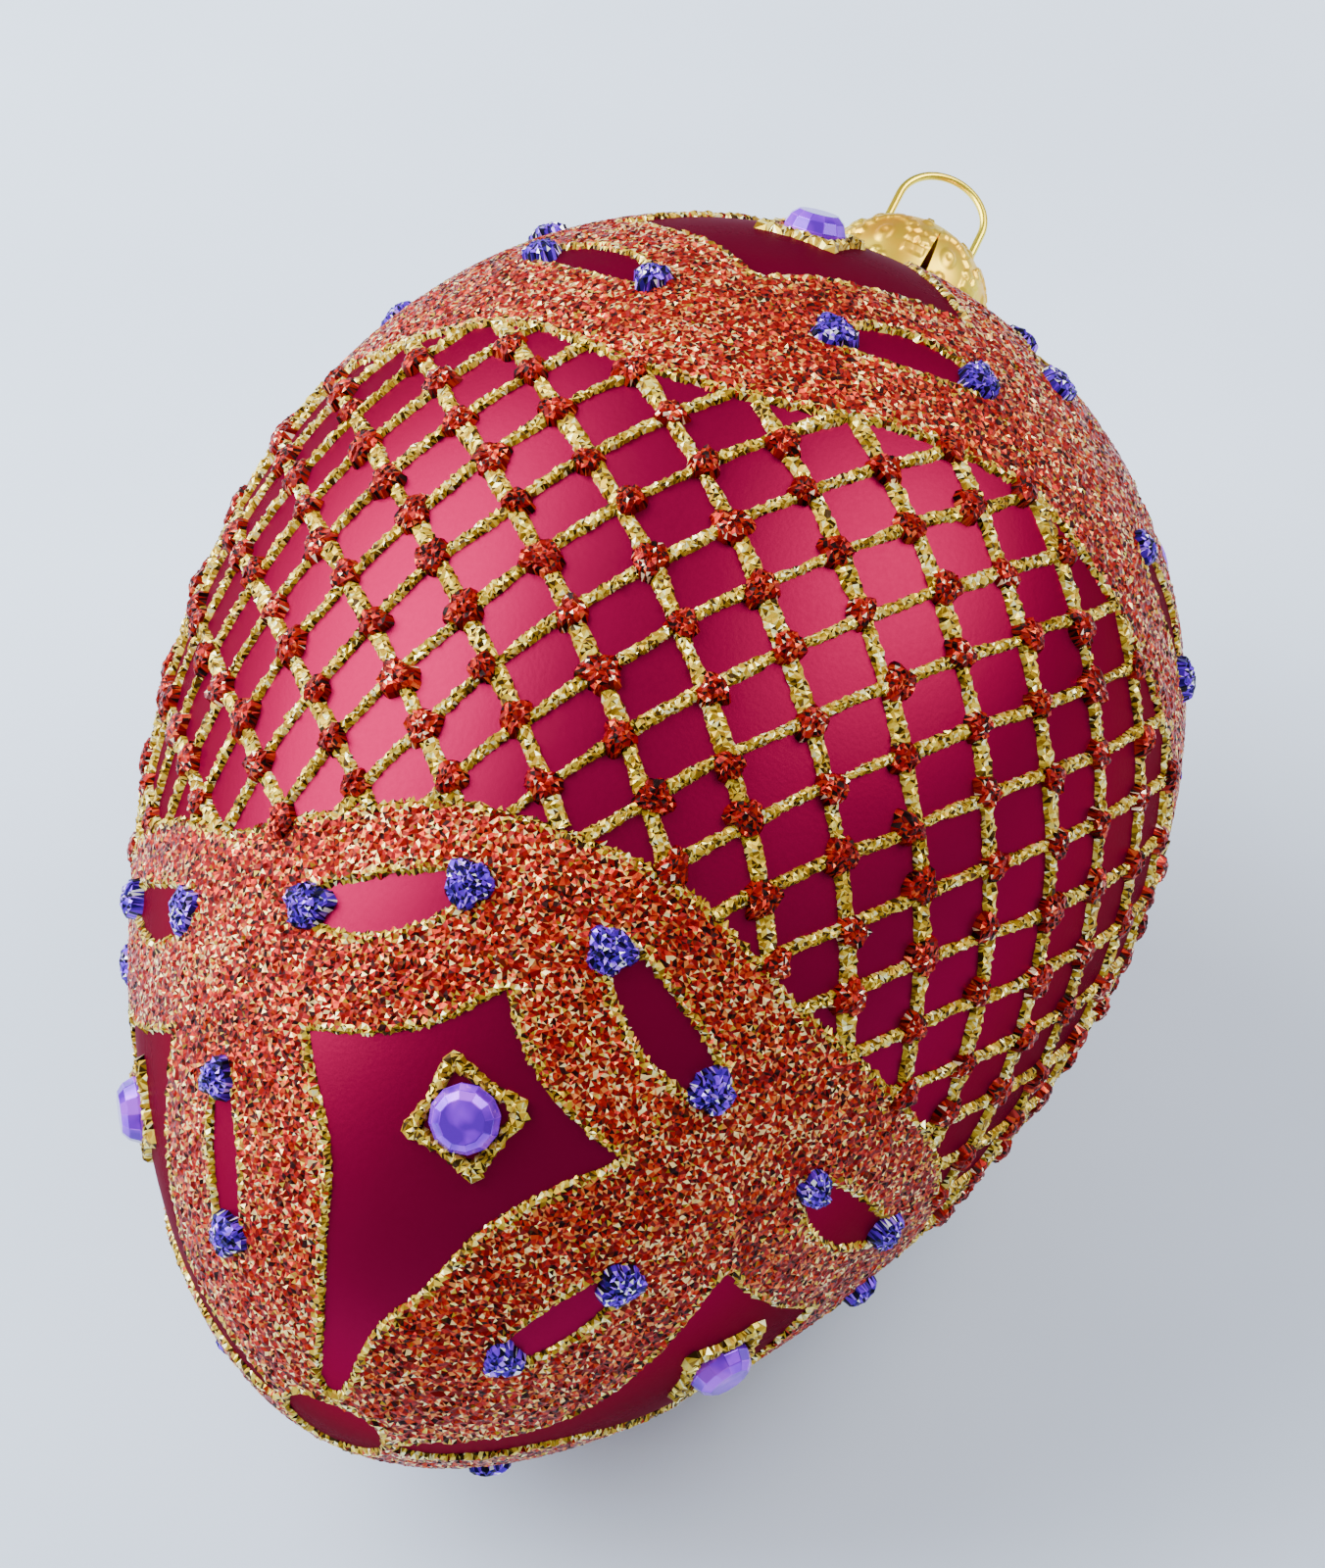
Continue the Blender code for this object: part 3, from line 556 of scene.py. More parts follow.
def line_through(marks, steps=10):
    """A closed smooth line through marks of the flat plan, sharp at those marked as corners."""
    count = len(marks)
    places = [np.array(flat(turn, depth)) for turn, depth, _ in marks]
    found = []
    for index in range(count):
        here, there = places[index], places[(index + 1) % count]
        before, after = places[index - 1], places[(index + 2) % count]
        lead = (there - before) * 0.5 if not marks[index][2] else (there - here)
        leave = (after - here) * 0.5 if not marks[(index + 1) % count][2] else (there - here)
        for step in range(steps):
            part = step / steps
            square, cube = part * part, part ** 3
            found.append((2 * cube - 3 * square + 1) * here + (cube - 2 * square + part) * lead
                         + (3 * square - 2 * cube) * there + (cube - square) * leave)
    return np.array(found)


def oval(near, far, half, steps=40):
    """A long pointed oval between two (turn, depth) tips of the flat plan."""
    first, second = np.array(flat(*near)), np.array(flat(*far))
    along = 0.5 * (second - first)
    across = np.array([-along[1], along[0]]) / np.hypot(*along) * half
    angle = np.linspace(0.0, TAU, steps, endpoint=False)
    narrow = np.sin(angle) * np.abs(np.sin(angle)) ** 0.25
    reach = SLIT_REACH * np.cos(angle)
    return 0.5 * (first + second) + np.outer(reach, along) + np.outer(narrow, across)


# The windows, as (turn in degrees, depth, is a corner) marks round each outline
FRONT_WINDOW = [
    (-0.4, 0.985, True), (7.0, 0.91, False), (18.0, 0.868, False), (27.8, 0.868, True),
    (21.0, 0.775, False), (14.0, 0.65, False), (10.0, 0.52, False), (3.0, 0.38, False),
    (0.0, 0.22, False), (-6.0, 0.17, False), (-16.0, 0.21, False), (-16.0, 0.36, False),
    (-18.2, 0.52, False), (-20.5, 0.68, False), (-28.5, 0.845, True), (-19.0, 0.86, False),
    (-7.5, 0.912, False)]
SIDE_WINDOW = [
    (0.0, 0.975, True), (7.0, 0.92, False), (18.0, 0.875, False), (27.5, 0.85, True),
    (20.0, 0.73, False), (12.0, 0.60, False), (8.0, 0.48, False), (8.0, 0.34, False),
    (10.0, 0.22, False), (0.0, 0.165, False), (-10.0, 0.22, False), (-8.0, 0.34, False),
    (-8.0, 0.48, False), (-12.0, 0.60, False), (-20.0, 0.73, False), (-27.5, 0.85, True),
    (-18.0, 0.875, False), (-7.0, 0.92, False)]
CAP_WINDOW = [
    (0.0, 0.97, True), (6.5, 0.91, False), (16.0, 0.855, False), (26.0, 0.81, True),
    (21.0, 0.70, False), (15.0, 0.58, False), (13.5, 0.45, False), (14.0, 0.35, False),
    (0.0, 0.325, False), (-14.0, 0.35, False), (-13.5, 0.45, False), (-15.0, 0.58, False),
    (-21.0, 0.70, False), (-26.0, 0.81, True), (-16.0, 0.855, False), (-6.5, 0.91, False)]

# The outer rims of the two wreaths, as (turn in degrees, depth) marks
POINTED_RIM = [
    (-90, 1.215), (-68, 1.18), (-47, 1.12), (-30, 1.16), (-15, 1.21), (0, 1.22), (13, 1.225),
    (35, 1.175), (50, 1.19), (70, 1.225), (90, 1.22), (112, 1.185), (135, 1.15), (158, 1.185),
    (180, 1.22), (202, 1.185), (225, 1.15), (248, 1.185)]
BLUNT_RIM = [
    (-79, 1.15), (-57, 1.235), (-34, 1.20), (-17, 1.27), (-3, 1.265), (13, 1.18), (30, 1.125),
    (57, 1.20), (79, 1.255), (101, 1.20), (124, 1.145), (146, 1.20), (169, 1.255),
    (191, 1.20), (214, 1.145), (236, 1.20), (259, 1.25)]

# What each end carries. A petal is a slit as (near tip, far tip, half width), and the ring's
# slits lie in pairs, one to each side of every ring turn
ENDS = {
    "pointed": {
        "hole": 4.3 * MM,
        "rim": POINTED_RIM,
        "windows": [(FRONT_WINDOW, 0.0), (SIDE_WINDOW, 87.0), (SIDE_WINDOW, 179.0),
                    (SIDE_WINDOW, -91.0)],
        "petals": [((41.0, 0.485), (44.5, 0.725), 0.05), ((-51.5, 0.50), (-48.0, 0.765), 0.045),
                   ((133.0, 0.49), (134.0, 0.75), 0.045), ((-133.0, 0.49), (-136.0, 0.75), 0.045)],
        "ring": ((32.0, 1.025), (10.5, 1.10), 0.037),
        "ring_turns": [0.0, 89.0, 180.0, -90.0],
        "gem": 0.80,
        "gem_turns": [2.0, 86.0, 180.0, -90.0],
    },
    "blunt": {
        "hole": CAP_RADIUS + 1.9 * MM,
        "rim": BLUNT_RIM,
        "windows": [(CAP_WINDOW, -11.0), (CAP_WINDOW, 79.0), (CAP_WINDOW, 169.0),
                    (CAP_WINDOW, -101.0)],
        "petals": [((33.0, 0.51), (31.5, 0.775), 0.043), ((-57.0, 0.50), (-56.0, 0.77), 0.043),
                   ((124.0, 0.50), (124.0, 0.77), 0.043), ((-146.0, 0.50), (-147.0, 0.77), 0.043)],
        "ring": ((29.5, 0.985), (11.3, 1.06), 0.037),
        "ring_turns": [-11.0, 79.0, 169.0, -101.0],
        "gem": 0.69,
        "gem_turns": [-11.0, 79.0, 169.0, -101.0],
    },
}


def slits(design):
    """All slits of one end, as (near tip, far tip, half width) in its flat plan."""
    found = list(design["petals"])
    outer, inner, half = design["ring"]
    for turn in design["ring_turns"]:
        for side in (-1.0, 1.0):
            found.append(((turn + side * outer[0], outer[1]),
                          (turn + side * inner[0], inner[1]), half))
    return found


def rim_depth(end, turn, steps=720, blur=27):
    """Depth of a wreath's outer rim at turns in radians, smooth between its marks."""
    marks = np.array(ENDS[end]["rim"], dtype=float)
    turns = np.radians(marks[:, 0])
    order = np.argsort(np.mod(turns, TAU))
    turns, depths = np.mod(turns, TAU)[order], marks[order, 1]
    turns = np.concatenate([turns - TAU, turns, turns + TAU])
    depths = np.concatenate([depths, depths, depths])
    fine = np.linspace(-0.5, TAU + 0.5, steps)
    kinked = np.pad(np.interp(fine, turns, depths), blur // 2, mode="edge")
    kernel = np.hanning(blur)
    smooth = np.convolve(kinked, kernel / kernel.sum(), mode="valid")
    return np.interp(np.mod(turn, TAU), fine, smooth)


def plan_on_egg(end, plan, lift):
    """Points above places of an end's flat plan."""
    depth = np.hypot(plan[:, 0], plan[:, 1])
    turn = np.arctan2(plan[:, 0], plan[:, 1])
    return on_egg(end_station(end, depth), turn, lift)


def even_steps(line, end, step):
    """A closed line of the flat plan cut into even steps of real length."""
    ring = np.vstack([line, line[:1]])
    real = plan_on_egg(end, ring, 0.0)
    lengths = np.linalg.norm(np.diff(real, axis=0), axis=1)
    reach = np.concatenate([[0.0], np.cumsum(lengths)])
    count = max(8, int(reach[-1] / step))
    at = np.linspace(0.0, reach[-1], count, endpoint=False)
    return np.stack([np.interp(at, reach, ring[:, 0]), np.interp(at, reach, ring[:, 1])], axis=1)


def along_and_beside(line):
    """Steps along a closed line of the flat plan, and the same steps turned a quarter."""
    along = np.roll(line, -1, axis=0) - np.roll(line, 1, axis=0)
    return along, np.stack([-along[:, 1], along[:, 0]], axis=1)


def wobble(line, size, seed, waves=range(3, 10)):
    """A hand's unsteadiness: slow waves in and out along a closed line."""
    own = np.random.default_rng(seed)
    angle = np.linspace(0.0, TAU, len(line), endpoint=False)
    wave = np.zeros(len(line))
    for times in waves:
        wave += own.normal() * np.sin(times * angle + own.uniform(0.0, TAU)) / times
    _, side = along_and_beside(line)
    side /= np.maximum(1e-9, np.linalg.norm(side, axis=1))[:, None]
    return line + side * (wave * size)[:, None]


def within(places, outline):
    """Which places of the flat plan are inside a closed outline."""
    found = np.zeros(len(places), dtype=bool)
    x, y = places[:, 0], places[:, 1]
    for first, second in zip(outline, np.roll(outline, 1, axis=0)):
        if first[1] == second[1]:
            continue
        spans = (first[1] > y) != (second[1] > y)
        share = (y - first[1]) / (second[1] - first[1])
        found ^= spans & (x < first[0] + share * (second[0] - first[0]))
    return found


def on_strap(places, lines):
    """Which places are inside the rim, which is the first line, and outside all other lines."""
    found = within(places, lines[0])
    for line in lines[1:]:
        found &= ~within(places, line)
    return found


def wreath_lines(end):
    """The rim, the pole hole, the windows and the slits of one wreath, as a hand draws them."""
    design = ENDS[end]
    turns = np.linspace(-180.0, 180.0, 360, endpoint=False)
    rim = flat(turns, rim_depth(end, np.radians(turns)))
    hole = float(depth_of_radius(end, design["hole"]))
    lines = [(rim, RIM_WOBBLE), (flat(turns[::6], np.full(60, hole)), HOLE_WOBBLE)]
    made = [wobble(line, size, seed) for seed, (line, size) in enumerate(lines, 5)]
    cuts = [(line_through([(own + turn, depth, corner) for own, depth, corner in marks]),
             WINDOW_WOBBLE) for marks, turn in design["windows"]]
    cuts += [(oval(*slit), SLIT_WOBBLE) for slit in slits(design)]
    return made + [wobble(line, size, seed) for seed, (line, size) in enumerate(cuts, 11)]


def tree_of(points):
    """A search tree over points."""
    made = kdtree.KDTree(len(points))
    for index, point in enumerate(points):
        made.insert(point, index)
    made.balance()
    return made


def nearest(tree, points):
    """Distance from each point to the nearest one in a tree."""
    return np.array([tree.find(point)[2] for point in points.tolist()])


def conformal(end, plan):
    """The flat plan stretched so that small triangles keep their shape on the glass."""
    depths = np.linspace(*PLAN_DEPTHS)
    stations = end_station(end, depths)
    rate = np.hypot(*egg_slopes(stations)) / egg_radius(stations)
    steps = 0.5 * (rate[1:] + rate[:-1]) * np.diff(depths)
    stretch = np.exp(np.concatenate([[0.0], np.cumsum(steps)]))
    depth = np.hypot(plan[:, 0], plan[:, 1])
    return plan / depth[:, None] * np.interp(depth, depths, stretch)[:, None]


def facets(flat_places):
    """Triangles that join strewn places of a plane."""
    corners = [Vector(place) for place in flat_places]
    return np.array(delaunay_2d_cdt(corners, [], [], 0, 1e-9, True)[2])


def ragged_edges(lines):
    """Each line with its points strewn to both sides, and a fringe of points beside each."""
    ragged, fringe = [], []
    for line in lines:
        along, side = along_and_beside(line)
        ragged.append(line + side * rough(STREWN, EDGE_STRAY, (len(line), 1)))
        for way in (-1.0, 1.0):
            out = way * STREWN.uniform(*FRINGE, (len(line), 1))
            fringe.append(line + FRINGE_LEAD * along + side * out)
    return ragged, fringe


def strewn_rings(end):
    """Rings of strewn places over one end, a grain apart."""
    rings = []
    depth, last = RING_DEPTHS[end]
    while depth < last:
        run, girth = radian_lengths(end_station(end, depth))
        count = int(TAU * girth / GRAIN)
        turn = (np.arange(count) + STREWN.uniform()) * 360.0 / count
        turn = turn + rough(STREWN, RING_STRAY, count) * 360.0 / count
        jitter = rough(STREWN, RING_STRAY, count) * GRAIN / run
        rings.append(flat(turn, depth + jitter))
        depth += RING_STEP * GRAIN / run
    return rings


def wreath_height(apart):
    """Height of the grains by how far they are from an edge: the piping's ridge, then fill."""
    spread = np.clip((apart - 0.5 * PIPING) / RIDGE_HALF, -1.0, 1.0)
    ridge = PIPING_HEIGHT * np.sqrt(1.0 - spread ** 2)
    return np.maximum(ridge, np.where(apart > 0.5 * PIPING, FILL_HEIGHT, 0.0))


def wreath_piece(end, surface):
    """One wreath of copper glitter: gold piping along every edge, a rough fill between."""
    lines = [even_steps(line, end, GRAIN) for line in wreath_lines(end)]
    ragged, fringe = ragged_edges(lines)
    fine = [even_steps(line, end, 0.25 * GRAIN) for line in lines]
    edge_tree = tree_of(plan_on_egg(end, np.vstack(fine), 0.0).tolist())
    strewn = np.vstack(fringe + strewn_rings(end))
    low = np.arange(len(strewn)) < sum(len(row) for row in fringe)
    keep = on_strap(strewn, lines)
    strewn, low = strewn[keep], low[keep]
    apart = nearest(edge_tree, plan_on_egg(end, strewn, 0.0))
    keep = apart > np.where(low, FRINGE_GAP, FILL_GAP) * GRAIN
    strewn, low, apart = strewn[keep], low[keep], apart[keep]
    borders = np.vstack(ragged)
    plan = np.vstack([borders, strewn])
    apart = np.concatenate([np.zeros(len(borders)), apart])
    faces = facets(conformal(end, plan))
    faces = faces[on_strap(plan[faces].mean(axis=1), lines)]
    height = wreath_height(apart)
    height[len(borders):][low] *= FRINGE_RISE
    height += rough(STREWN, WREATH_ROUGH, len(height))
    height = np.where(apart == 0.0, ROOT, height)
    points = off_the_floor(plan_on_egg(end, plan, height))
    gold_share = GOLD_AT_EDGE - GOLD_FADE * apart[faces].mean(axis=1) / MM
    rim = STREWN.uniform(0.0, 1.0, len(faces)) < np.clip(gold_share, *GOLD_SHARES)
    grain = STREWN.uniform(0.0, 1.0, len(faces))
    return finished_grains(f"wreath_grains_{end}", points, faces, surface, grain=grain, rim=rim)


def finished_grains(name, points, faces, surface, **fields):
    """Turn every facet outwards and drop points that no facet uses."""
    corners = points[faces]
    normal = np.cross(corners[:, 1] - corners[:, 0], corners[:, 2] - corners[:, 0])
    middle = REST_GRID[:3, 3]
    inward = np.einsum("ij,ij->i", normal, corners.mean(axis=1) - middle) < 0.0
    faces = faces.copy()
    faces[inward] = faces[inward][:, ::-1]
    used, back = np.unique(faces, return_inverse=True)
    return piece_of(name, points[used], back.reshape(faces.shape), surface, **fields)


def net_bounds(turn):
    """Stations between which the net shows at turns in radians."""
    return rim_depth("pointed", turn), math.pi - rim_depth("blunt", turn)


def strand(turns, stations, width, height):
    """A ridge of grains along a line on the glass, open below: points and faces."""
    line = on_egg(stations, turns, 0.0)
    out = (on_egg(stations, turns, MM) - line) / MM
    along = np.gradient(line, axis=0)
    along /= np.linalg.norm(along, axis=1)[:, None]
    side = np.cross(out, along)
    count = len(line)
    rows = []
    for share, rise in zip(STRAND_SHARES, STRAND_RISES):
        across = share * 0.5 * width + rough(STREWN, ACROSS_ROUGH, count)
        lift = np.full(count, ROOT)
        if rise:
            lift = rise * height + rough(STREWN, LIFT_ROUGH, count)
        shift = rough(STREWN, ALONG_ROUGH, count)
        rows.append(line + side * across[:, None] + along * shift[:, None] + out * lift[:, None])
    points = np.stack(rows, axis=1).reshape(-1, 3)
    wide = len(rows)
    faces = []
    for step in range(count - 1):
        for place in range(wide - 1):
            a = step * wide + place
            b, c, d = a + 1, a + wide + 1, a + wide
            if STREWN.uniform() < 0.5:
                faces += [(a, b, c), (a, c, d)]
            else:
                faces += [(a, b, d), (b, c, d)]
    return points, np.array(faces)


def joined(parts):
    """One pair of arrays from several (points, faces) pairs."""
    points, faces, start = [], [], 0
    for own_points, own_faces in parts:
        points.append(own_points)
        faces.append(own_faces + start)
        start += len(own_points)
    return np.vstack(points), np.vstack(faces)


def slow_wave(length, size, own, waves=range(2, 12)):
    """Slow random waves along a line of a given number of steps."""
    at = np.linspace(0.0, 1.0, length)
    wave = np.zeros(length)
    for times in waves:
        wave += own.normal() * np.sin(TAU * times * at + own.uniform(0.0, TAU)) / times ** 0.8
    return wave * size


def net_piece(surface):
    """The gold diamond net: two families of unsteady strands."""
    own = np.random.default_rng(7)
    stations = np.linspace(*NET_STATIONS, NET_STEPS)
    parts = []
    for way, other, count, wide in ((NET_UP, NET_DOWN, NET_LINES[0], ACROSS_WIDTH),
                                    (NET_DOWN, NET_UP, NET_LINES[1], DOWN_WIDTH)):
        for index in range(count):
            start = NET_START[0] + index * other[0]
            rise = stations - NET_START[1] - index * other[1]
            turns = start + way[0] / way[1] * rise
            turns = turns + slow_wave(NET_STEPS, LINE_WAVE, own)
            low, high = net_bounds(turns)
            keep = (stations > low - NET_OVERLAP) & (stations < high + NET_OVERLAP)
            keep &= on_egg(stations, turns, 0.0)[:, 2] > NET_FLOOR
            changes = np.where(np.diff(keep.astype(int)))[0] + 1
            for run in np.split(np.arange(NET_STEPS), changes):
                if keep[run[0]] and len(run) >= LEAST_RUN:
                    width = wide * (1.0 + slow_wave(len(run), WIDTH_WAVE, own))
                    parts.append(strand(turns[run], stations[run], width, STRAND_HEIGHT))
    points, faces = joined(parts)
    grain = STREWN.uniform(0.0, 1.0, len(faces))
    return piece_of("net_grains", off_the_floor(points), faces, surface, grain=grain)


def heap(station, turn, radius, height, stretch, own):
    """A rough heap of grains on the glass: a middle point and rings of more round it."""
    rings = max(3, int(radius / HEAP_RING))
    places = [(0.0, 0.0)]
    for ring in range(1, rings + 1):
        for index in range(6 * ring):
            places.append((ring / rings, TAU * (index + 0.5 * (ring % 2)) / (6 * ring)))
    reach, angle = np.array(places).T
    lobes = np.ones(len(places))
    for count, depth in HEAP_LOBES:
        lobes += depth * np.sin(count * angle + own.uniform(0, TAU))
    along = reach * radius * lobes * np.cos(angle) * stretch
    across = reach * radius * lobes * np.sin(angle) / stretch
    along += rough(own, HEAP_SPREAD, len(reach))
    across += rough(own, HEAP_SPREAD, len(reach))
    lift = height * np.sqrt(np.clip(1.0 - HEAP_FALL * reach ** 2, 0.0, 1.0))
    lift += rough(own, HEAP_ROUGH, len(reach))
    lift = np.where(reach == 1.0, ROOT, lift)
    run, girth = radian_lengths(station)
    points = on_egg(station + along / run, turn + across / girth, lift)
    round_plan = np.stack([reach * np.cos(angle), reach * np.sin(angle)], axis=1)
    return points, facets(round_plan)


def heaps_piece(name, parts, surface):
    """One piece from many heaps."""
    points, faces = joined(parts)
    grain = STREWN.uniform(0.0, 1.0, len(faces))
    return finished_grains(name, off_the_floor(points), faces, surface, grain=grain)


def dots_piece(surface):
    """Red dots on the net's crossings, each a little off its place."""
    own = np.random.default_rng(11)
    parts = []
    for down in CROSSINGS:
        for up in CROSSINGS:
            station = NET_START[1] + down * NET_DOWN[1] + up * NET_UP[1]
            turn = NET_START[0] + down * NET_DOWN[0] + up * NET_UP[0]
            if not (DOT_STATIONS[0] < station < DOT_STATIONS[1] and 0.0 <= turn < TAU):
                continue
            station += own.normal() * DOT_STRAY[0]
            turn += own.normal() * DOT_STRAY[1]
            radius = DOT_RADIUS * own.uniform(*DOT_SIZES)
            low, high = net_bounds(turn)
            if not low - DOT_OVERLAP < station < high + DOT_OVERLAP:
                continue
            if on_egg(station, turn, 0.0)[2] >= DOT_FLOOR:
                height, stretch = own.uniform(*DOT_HEIGHTS), own.uniform(*DOT_STRETCH)
                parts.append(heap(station, turn, radius, height, stretch, own))
    return heaps_piece("crossing_dots", parts, surface)


def dabs_piece(surface):
    """Violet dabs on both tips of every slit."""
    own = np.random.default_rng(19)
    parts = []
    for end, design in ENDS.items():
        for turn, depth in [tip for near, far, _ in slits(design) for tip in (near, far)]:
            station = end_station(end, depth) + own.normal() * DAB_STRAY[0]
            spin = math.radians(turn) + own.normal() * DAB_STRAY[1]
            if on_egg(station, spin, 0.0)[2] >= DAB_FLOOR:
                radius = DAB_RADIUS * own.uniform(*DAB_SIZES)
                height, stretch = own.uniform(*DAB_HEIGHTS), own.uniform(*DAB_STRETCH)
                parts.append(heap(station, spin, radius, height, stretch, own))
    return heaps_piece("slit_tip_dabs", parts, surface)


def seat(end, depth, turn, lift, nudge=0.01):
    """Place on the glass: Z outwards, X round the egg, Y towards the blunt end."""
    station = end_station(end, depth)
    low = Vector(on_egg(station, math.radians(turn), lift))
    outward = (Vector(on_egg(station, math.radians(turn), EGG_RADIUS)) - low).normalized()
    beside = Vector(on_egg(station, math.radians(turn) + nudge, lift)) - low
    around = (beside - outward * beside.dot(outward)).normalized()
    made = Matrix((around, outward.cross(around), outward)).transposed().to_4x4()
    made.translation = low
    return made


def cut_stone(surface):
    """One flat-backed stone: girdle, a ring of crown facets, a second ring and a table."""
    let_go()
    bpy.ops.mesh.primitive_cylinder_add(vertices=GEM_SIDES, radius=GEM_RADIUS, depth=GEM_GIRDLE,
                                        location=(0.0, 0.0, 0.5 * GEM_GIRDLE))
    stone = active()
    bpy.ops.object.transform_apply(location=True, rotation=False, scale=False)
    bpy.ops.object.mode_set(mode="EDIT")
    bpy.ops.mesh.select_mode(type="FACE")
    bpy.ops.mesh.select_all(action="DESELECT")
    bpy.ops.object.mode_set(mode="OBJECT")
    for face in stone.data.polygons:
        face.select = face.normal.z > 0.9
    bpy.ops.object.mode_set(mode="EDIT")
    for rise, width in GEM_CROWN:
        bpy.ops.mesh.extrude_region_move(TRANSFORM_OT_translate={"value": (0.0, 0.0, rise)})
        bpy.ops.transform.resize(value=(width, width, 1.0))
    bpy.ops.mesh.select_all(action="SELECT")
    bpy.ops.mesh.bevel(offset=GEM_EDGE, segments=1, affect="EDGES")
    bpy.ops.object.mode_set(mode="OBJECT")
    # Each facet is given a random lightness: a painted reflection
    tones = np.random.default_rng(5).uniform(*FACET_REFLECTION_TONES, len(stone.data.polygons))
    facet_reflection = stone.data.attributes.new("facet_reflection", "FLOAT", "FACE")
    facet_reflection.data.foreach_set("value", tones)
    stone.data.materials.append(surface)
    return stone


def stones(surface):
    """Eight stones from one model, each with its own mesh."""
    model = cut_stone(surface)
    for end, design in ENDS.items():
        for index, turn in enumerate(design["gem_turns"]):
            pick(model)
            bpy.ops.object.duplicate(linked=False)
            stone = active()
            stone.name = f"stone_{end}_{index + 1}"
            stone.matrix_world = seat(end, design["gem"], turn, GEM_LIFT)
            place_in_mesh(stone)
            rides(stone, "violet_stone", f"gem_{end}_{index + 1}")
    pick(model)
    bpy.ops.object.delete()


def star_line():
    """The closed four-pointed line round a stone, with hollow sides, in real lengths."""
    marks = []
    for index in range(8):
        angle = FRAME_TURN + index * math.pi / 4.0
        far = FRAME_REACH if index % 2 == 0 else FRAME_WAIST
        marks.append(far * np.array([math.cos(angle), math.sin(angle)]))
    found = []
    for index in range(0, 8, 2):
        tip, middle, other = marks[index], marks[index + 1], marks[(index + 2) % 8]
        bend = 2.0 * middle - 0.5 * (tip + other)
        for part in np.linspace(0.0, 1.0, FRAME_STEPS, endpoint=False):
            found.append((1 - part) ** 2 * tip + 2 * part * (1 - part) * bend + part ** 2 * other)
    return np.array(found + found[:1])


def gem_lines(surface):
    """The four-pointed line of gold grains round each stone."""
    own = np.random.default_rng(31)
    for end, design in ENDS.items():
        station = end_station(end, design["gem"])
        run, girth = radian_lengths(station)
        for index, turn in enumerate(design["gem_turns"]):
            line = star_line()
            line += own.normal(0.0, FRAME_STRAY, line.shape)
            line[-1] = line[0]
            reach = np.hypot(line[:, 0], line[:, 1])
            width = np.interp(reach, (GEM_RADIUS, FRAME_REACH), FRAME_WIDTHS)
            width *= 1.0 + slow_wave(len(line), FRAME_WAVE, own)
            points, faces = strand(math.radians(turn) + line[:, 0] / girth,
                                   station + line[:, 1] / run, width, FRAME_HEIGHT)
            grain = own.uniform(0.0, 1.0, len(faces))
            made = piece_of(f"gem_line_{end}_{index + 1}", off_the_floor(points), faces, surface,
                            grain=grain)
            rides(made, "gold_glitter", f"gem_frame_{end}_{index + 1}")


def spun(name, outline, steps, surface):
    """Spin an outline of (radius, height) points round the egg's axis, then lay it down."""
    mesh = bpy.data.meshes.new(name)
    sides = [(index, index + 1) for index in range(len(outline) - 1)]
    mesh.from_pydata([(radius, 0.0, height) for radius, height in outline], sides, [])
    thing = bpy.data.objects.new(name, mesh)
    bpy.context.scene.collection.objects.link(thing)
    pick(thing)
    bpy.ops.object.mode_set(mode="EDIT")
    bpy.ops.mesh.select_all(action="SELECT")
    bpy.ops.mesh.spin(steps=steps, angle=TAU, center=(0.0, 0.0, 0.0), axis=(0.0, 0.0, 1.0))
    bpy.ops.mesh.select_all(action="SELECT")
    bpy.ops.mesh.remove_doubles(threshold=SPUN_MERGE)
    bpy.ops.mesh.normals_make_consistent(inside=False)
    bpy.ops.object.mode_set(mode="OBJECT")
    thing.matrix_world = REST
    place_in_mesh(thing)
    mesh.materials.append(surface)
    return thing


def glass_piece(surface):
    """The blown shell with its open neck, ground flat where it rests."""
    bore = NECK_RADIUS - WALL
    outer_rings, inner_rings = 64, 32
    _, blend = egg_offset(NECK_STATION, 0.0)
    foot = float(blend) + NECK_BLEND
    outline = [(NECK_RADIUS, MOUTH_HEIGHT), (NECK_RADIUS, foot)]
    for index in range(outer_rings):
        station = NECK_STATION * (1.0 - index / outer_rings)
        outline.append(tuple(float(value) for value in egg_offset(station, 0.0)))
    outline.append((0.0, -0.5 * EGG_LENGTH))
    outline.append((0.0, -0.5 * EGG_LENGTH + WALL))
    for index in range(2, inner_rings + 1):
        station = NECK_STATION * index / inner_rings
        outline.append(tuple(float(value) for value in egg_offset(station, -WALL)))
    outline += [(bore, foot), (bore, MOUTH_HEIGHT), (NECK_RADIUS, MOUTH_HEIGHT)]
    glass = spun("blown_glass", outline, 128, surface)
    bpy.ops.object.mode_set(mode="EDIT")
    bpy.ops.mesh.select_all(action="SELECT")
    bpy.ops.mesh.bisect(plane_co=(0.0, 0.0, 0.0), plane_no=(0.0, 0.0, 1.0), use_fill=True,
                        clear_inner=True, threshold=CUT_MERGE)
    bpy.ops.object.mode_set(mode="OBJECT")
    bpy.ops.object.shade_smooth_by_angle(angle=math.radians(30.0))
    rides(glass, "lacquered_glass", "glass_egg")


def bump_at(along, round_way, place, size, square=False, turned=0.0):
    """A soft pressed bump at a place of the cap's unrolled sheet."""
    u = along - place[0]
    v = round_way - place[1]
    if turned:
        cos, sin = math.cos(turned), math.sin(turned)
        u, v = u * cos + v * sin, v * cos - u * sin
    u, v = u / size[0], v / size[1]
    if square:
        inwards = 1.0 - np.maximum(np.abs(u), np.abs(v))
        return np.clip(SQUARE_SLOPE * inwards, 0.0, SQUARE_TOP) / SQUARE_TOP
    return np.clip(1.0 - (u * u + v * v), 0.0, 1.0) ** ROUND_FALL


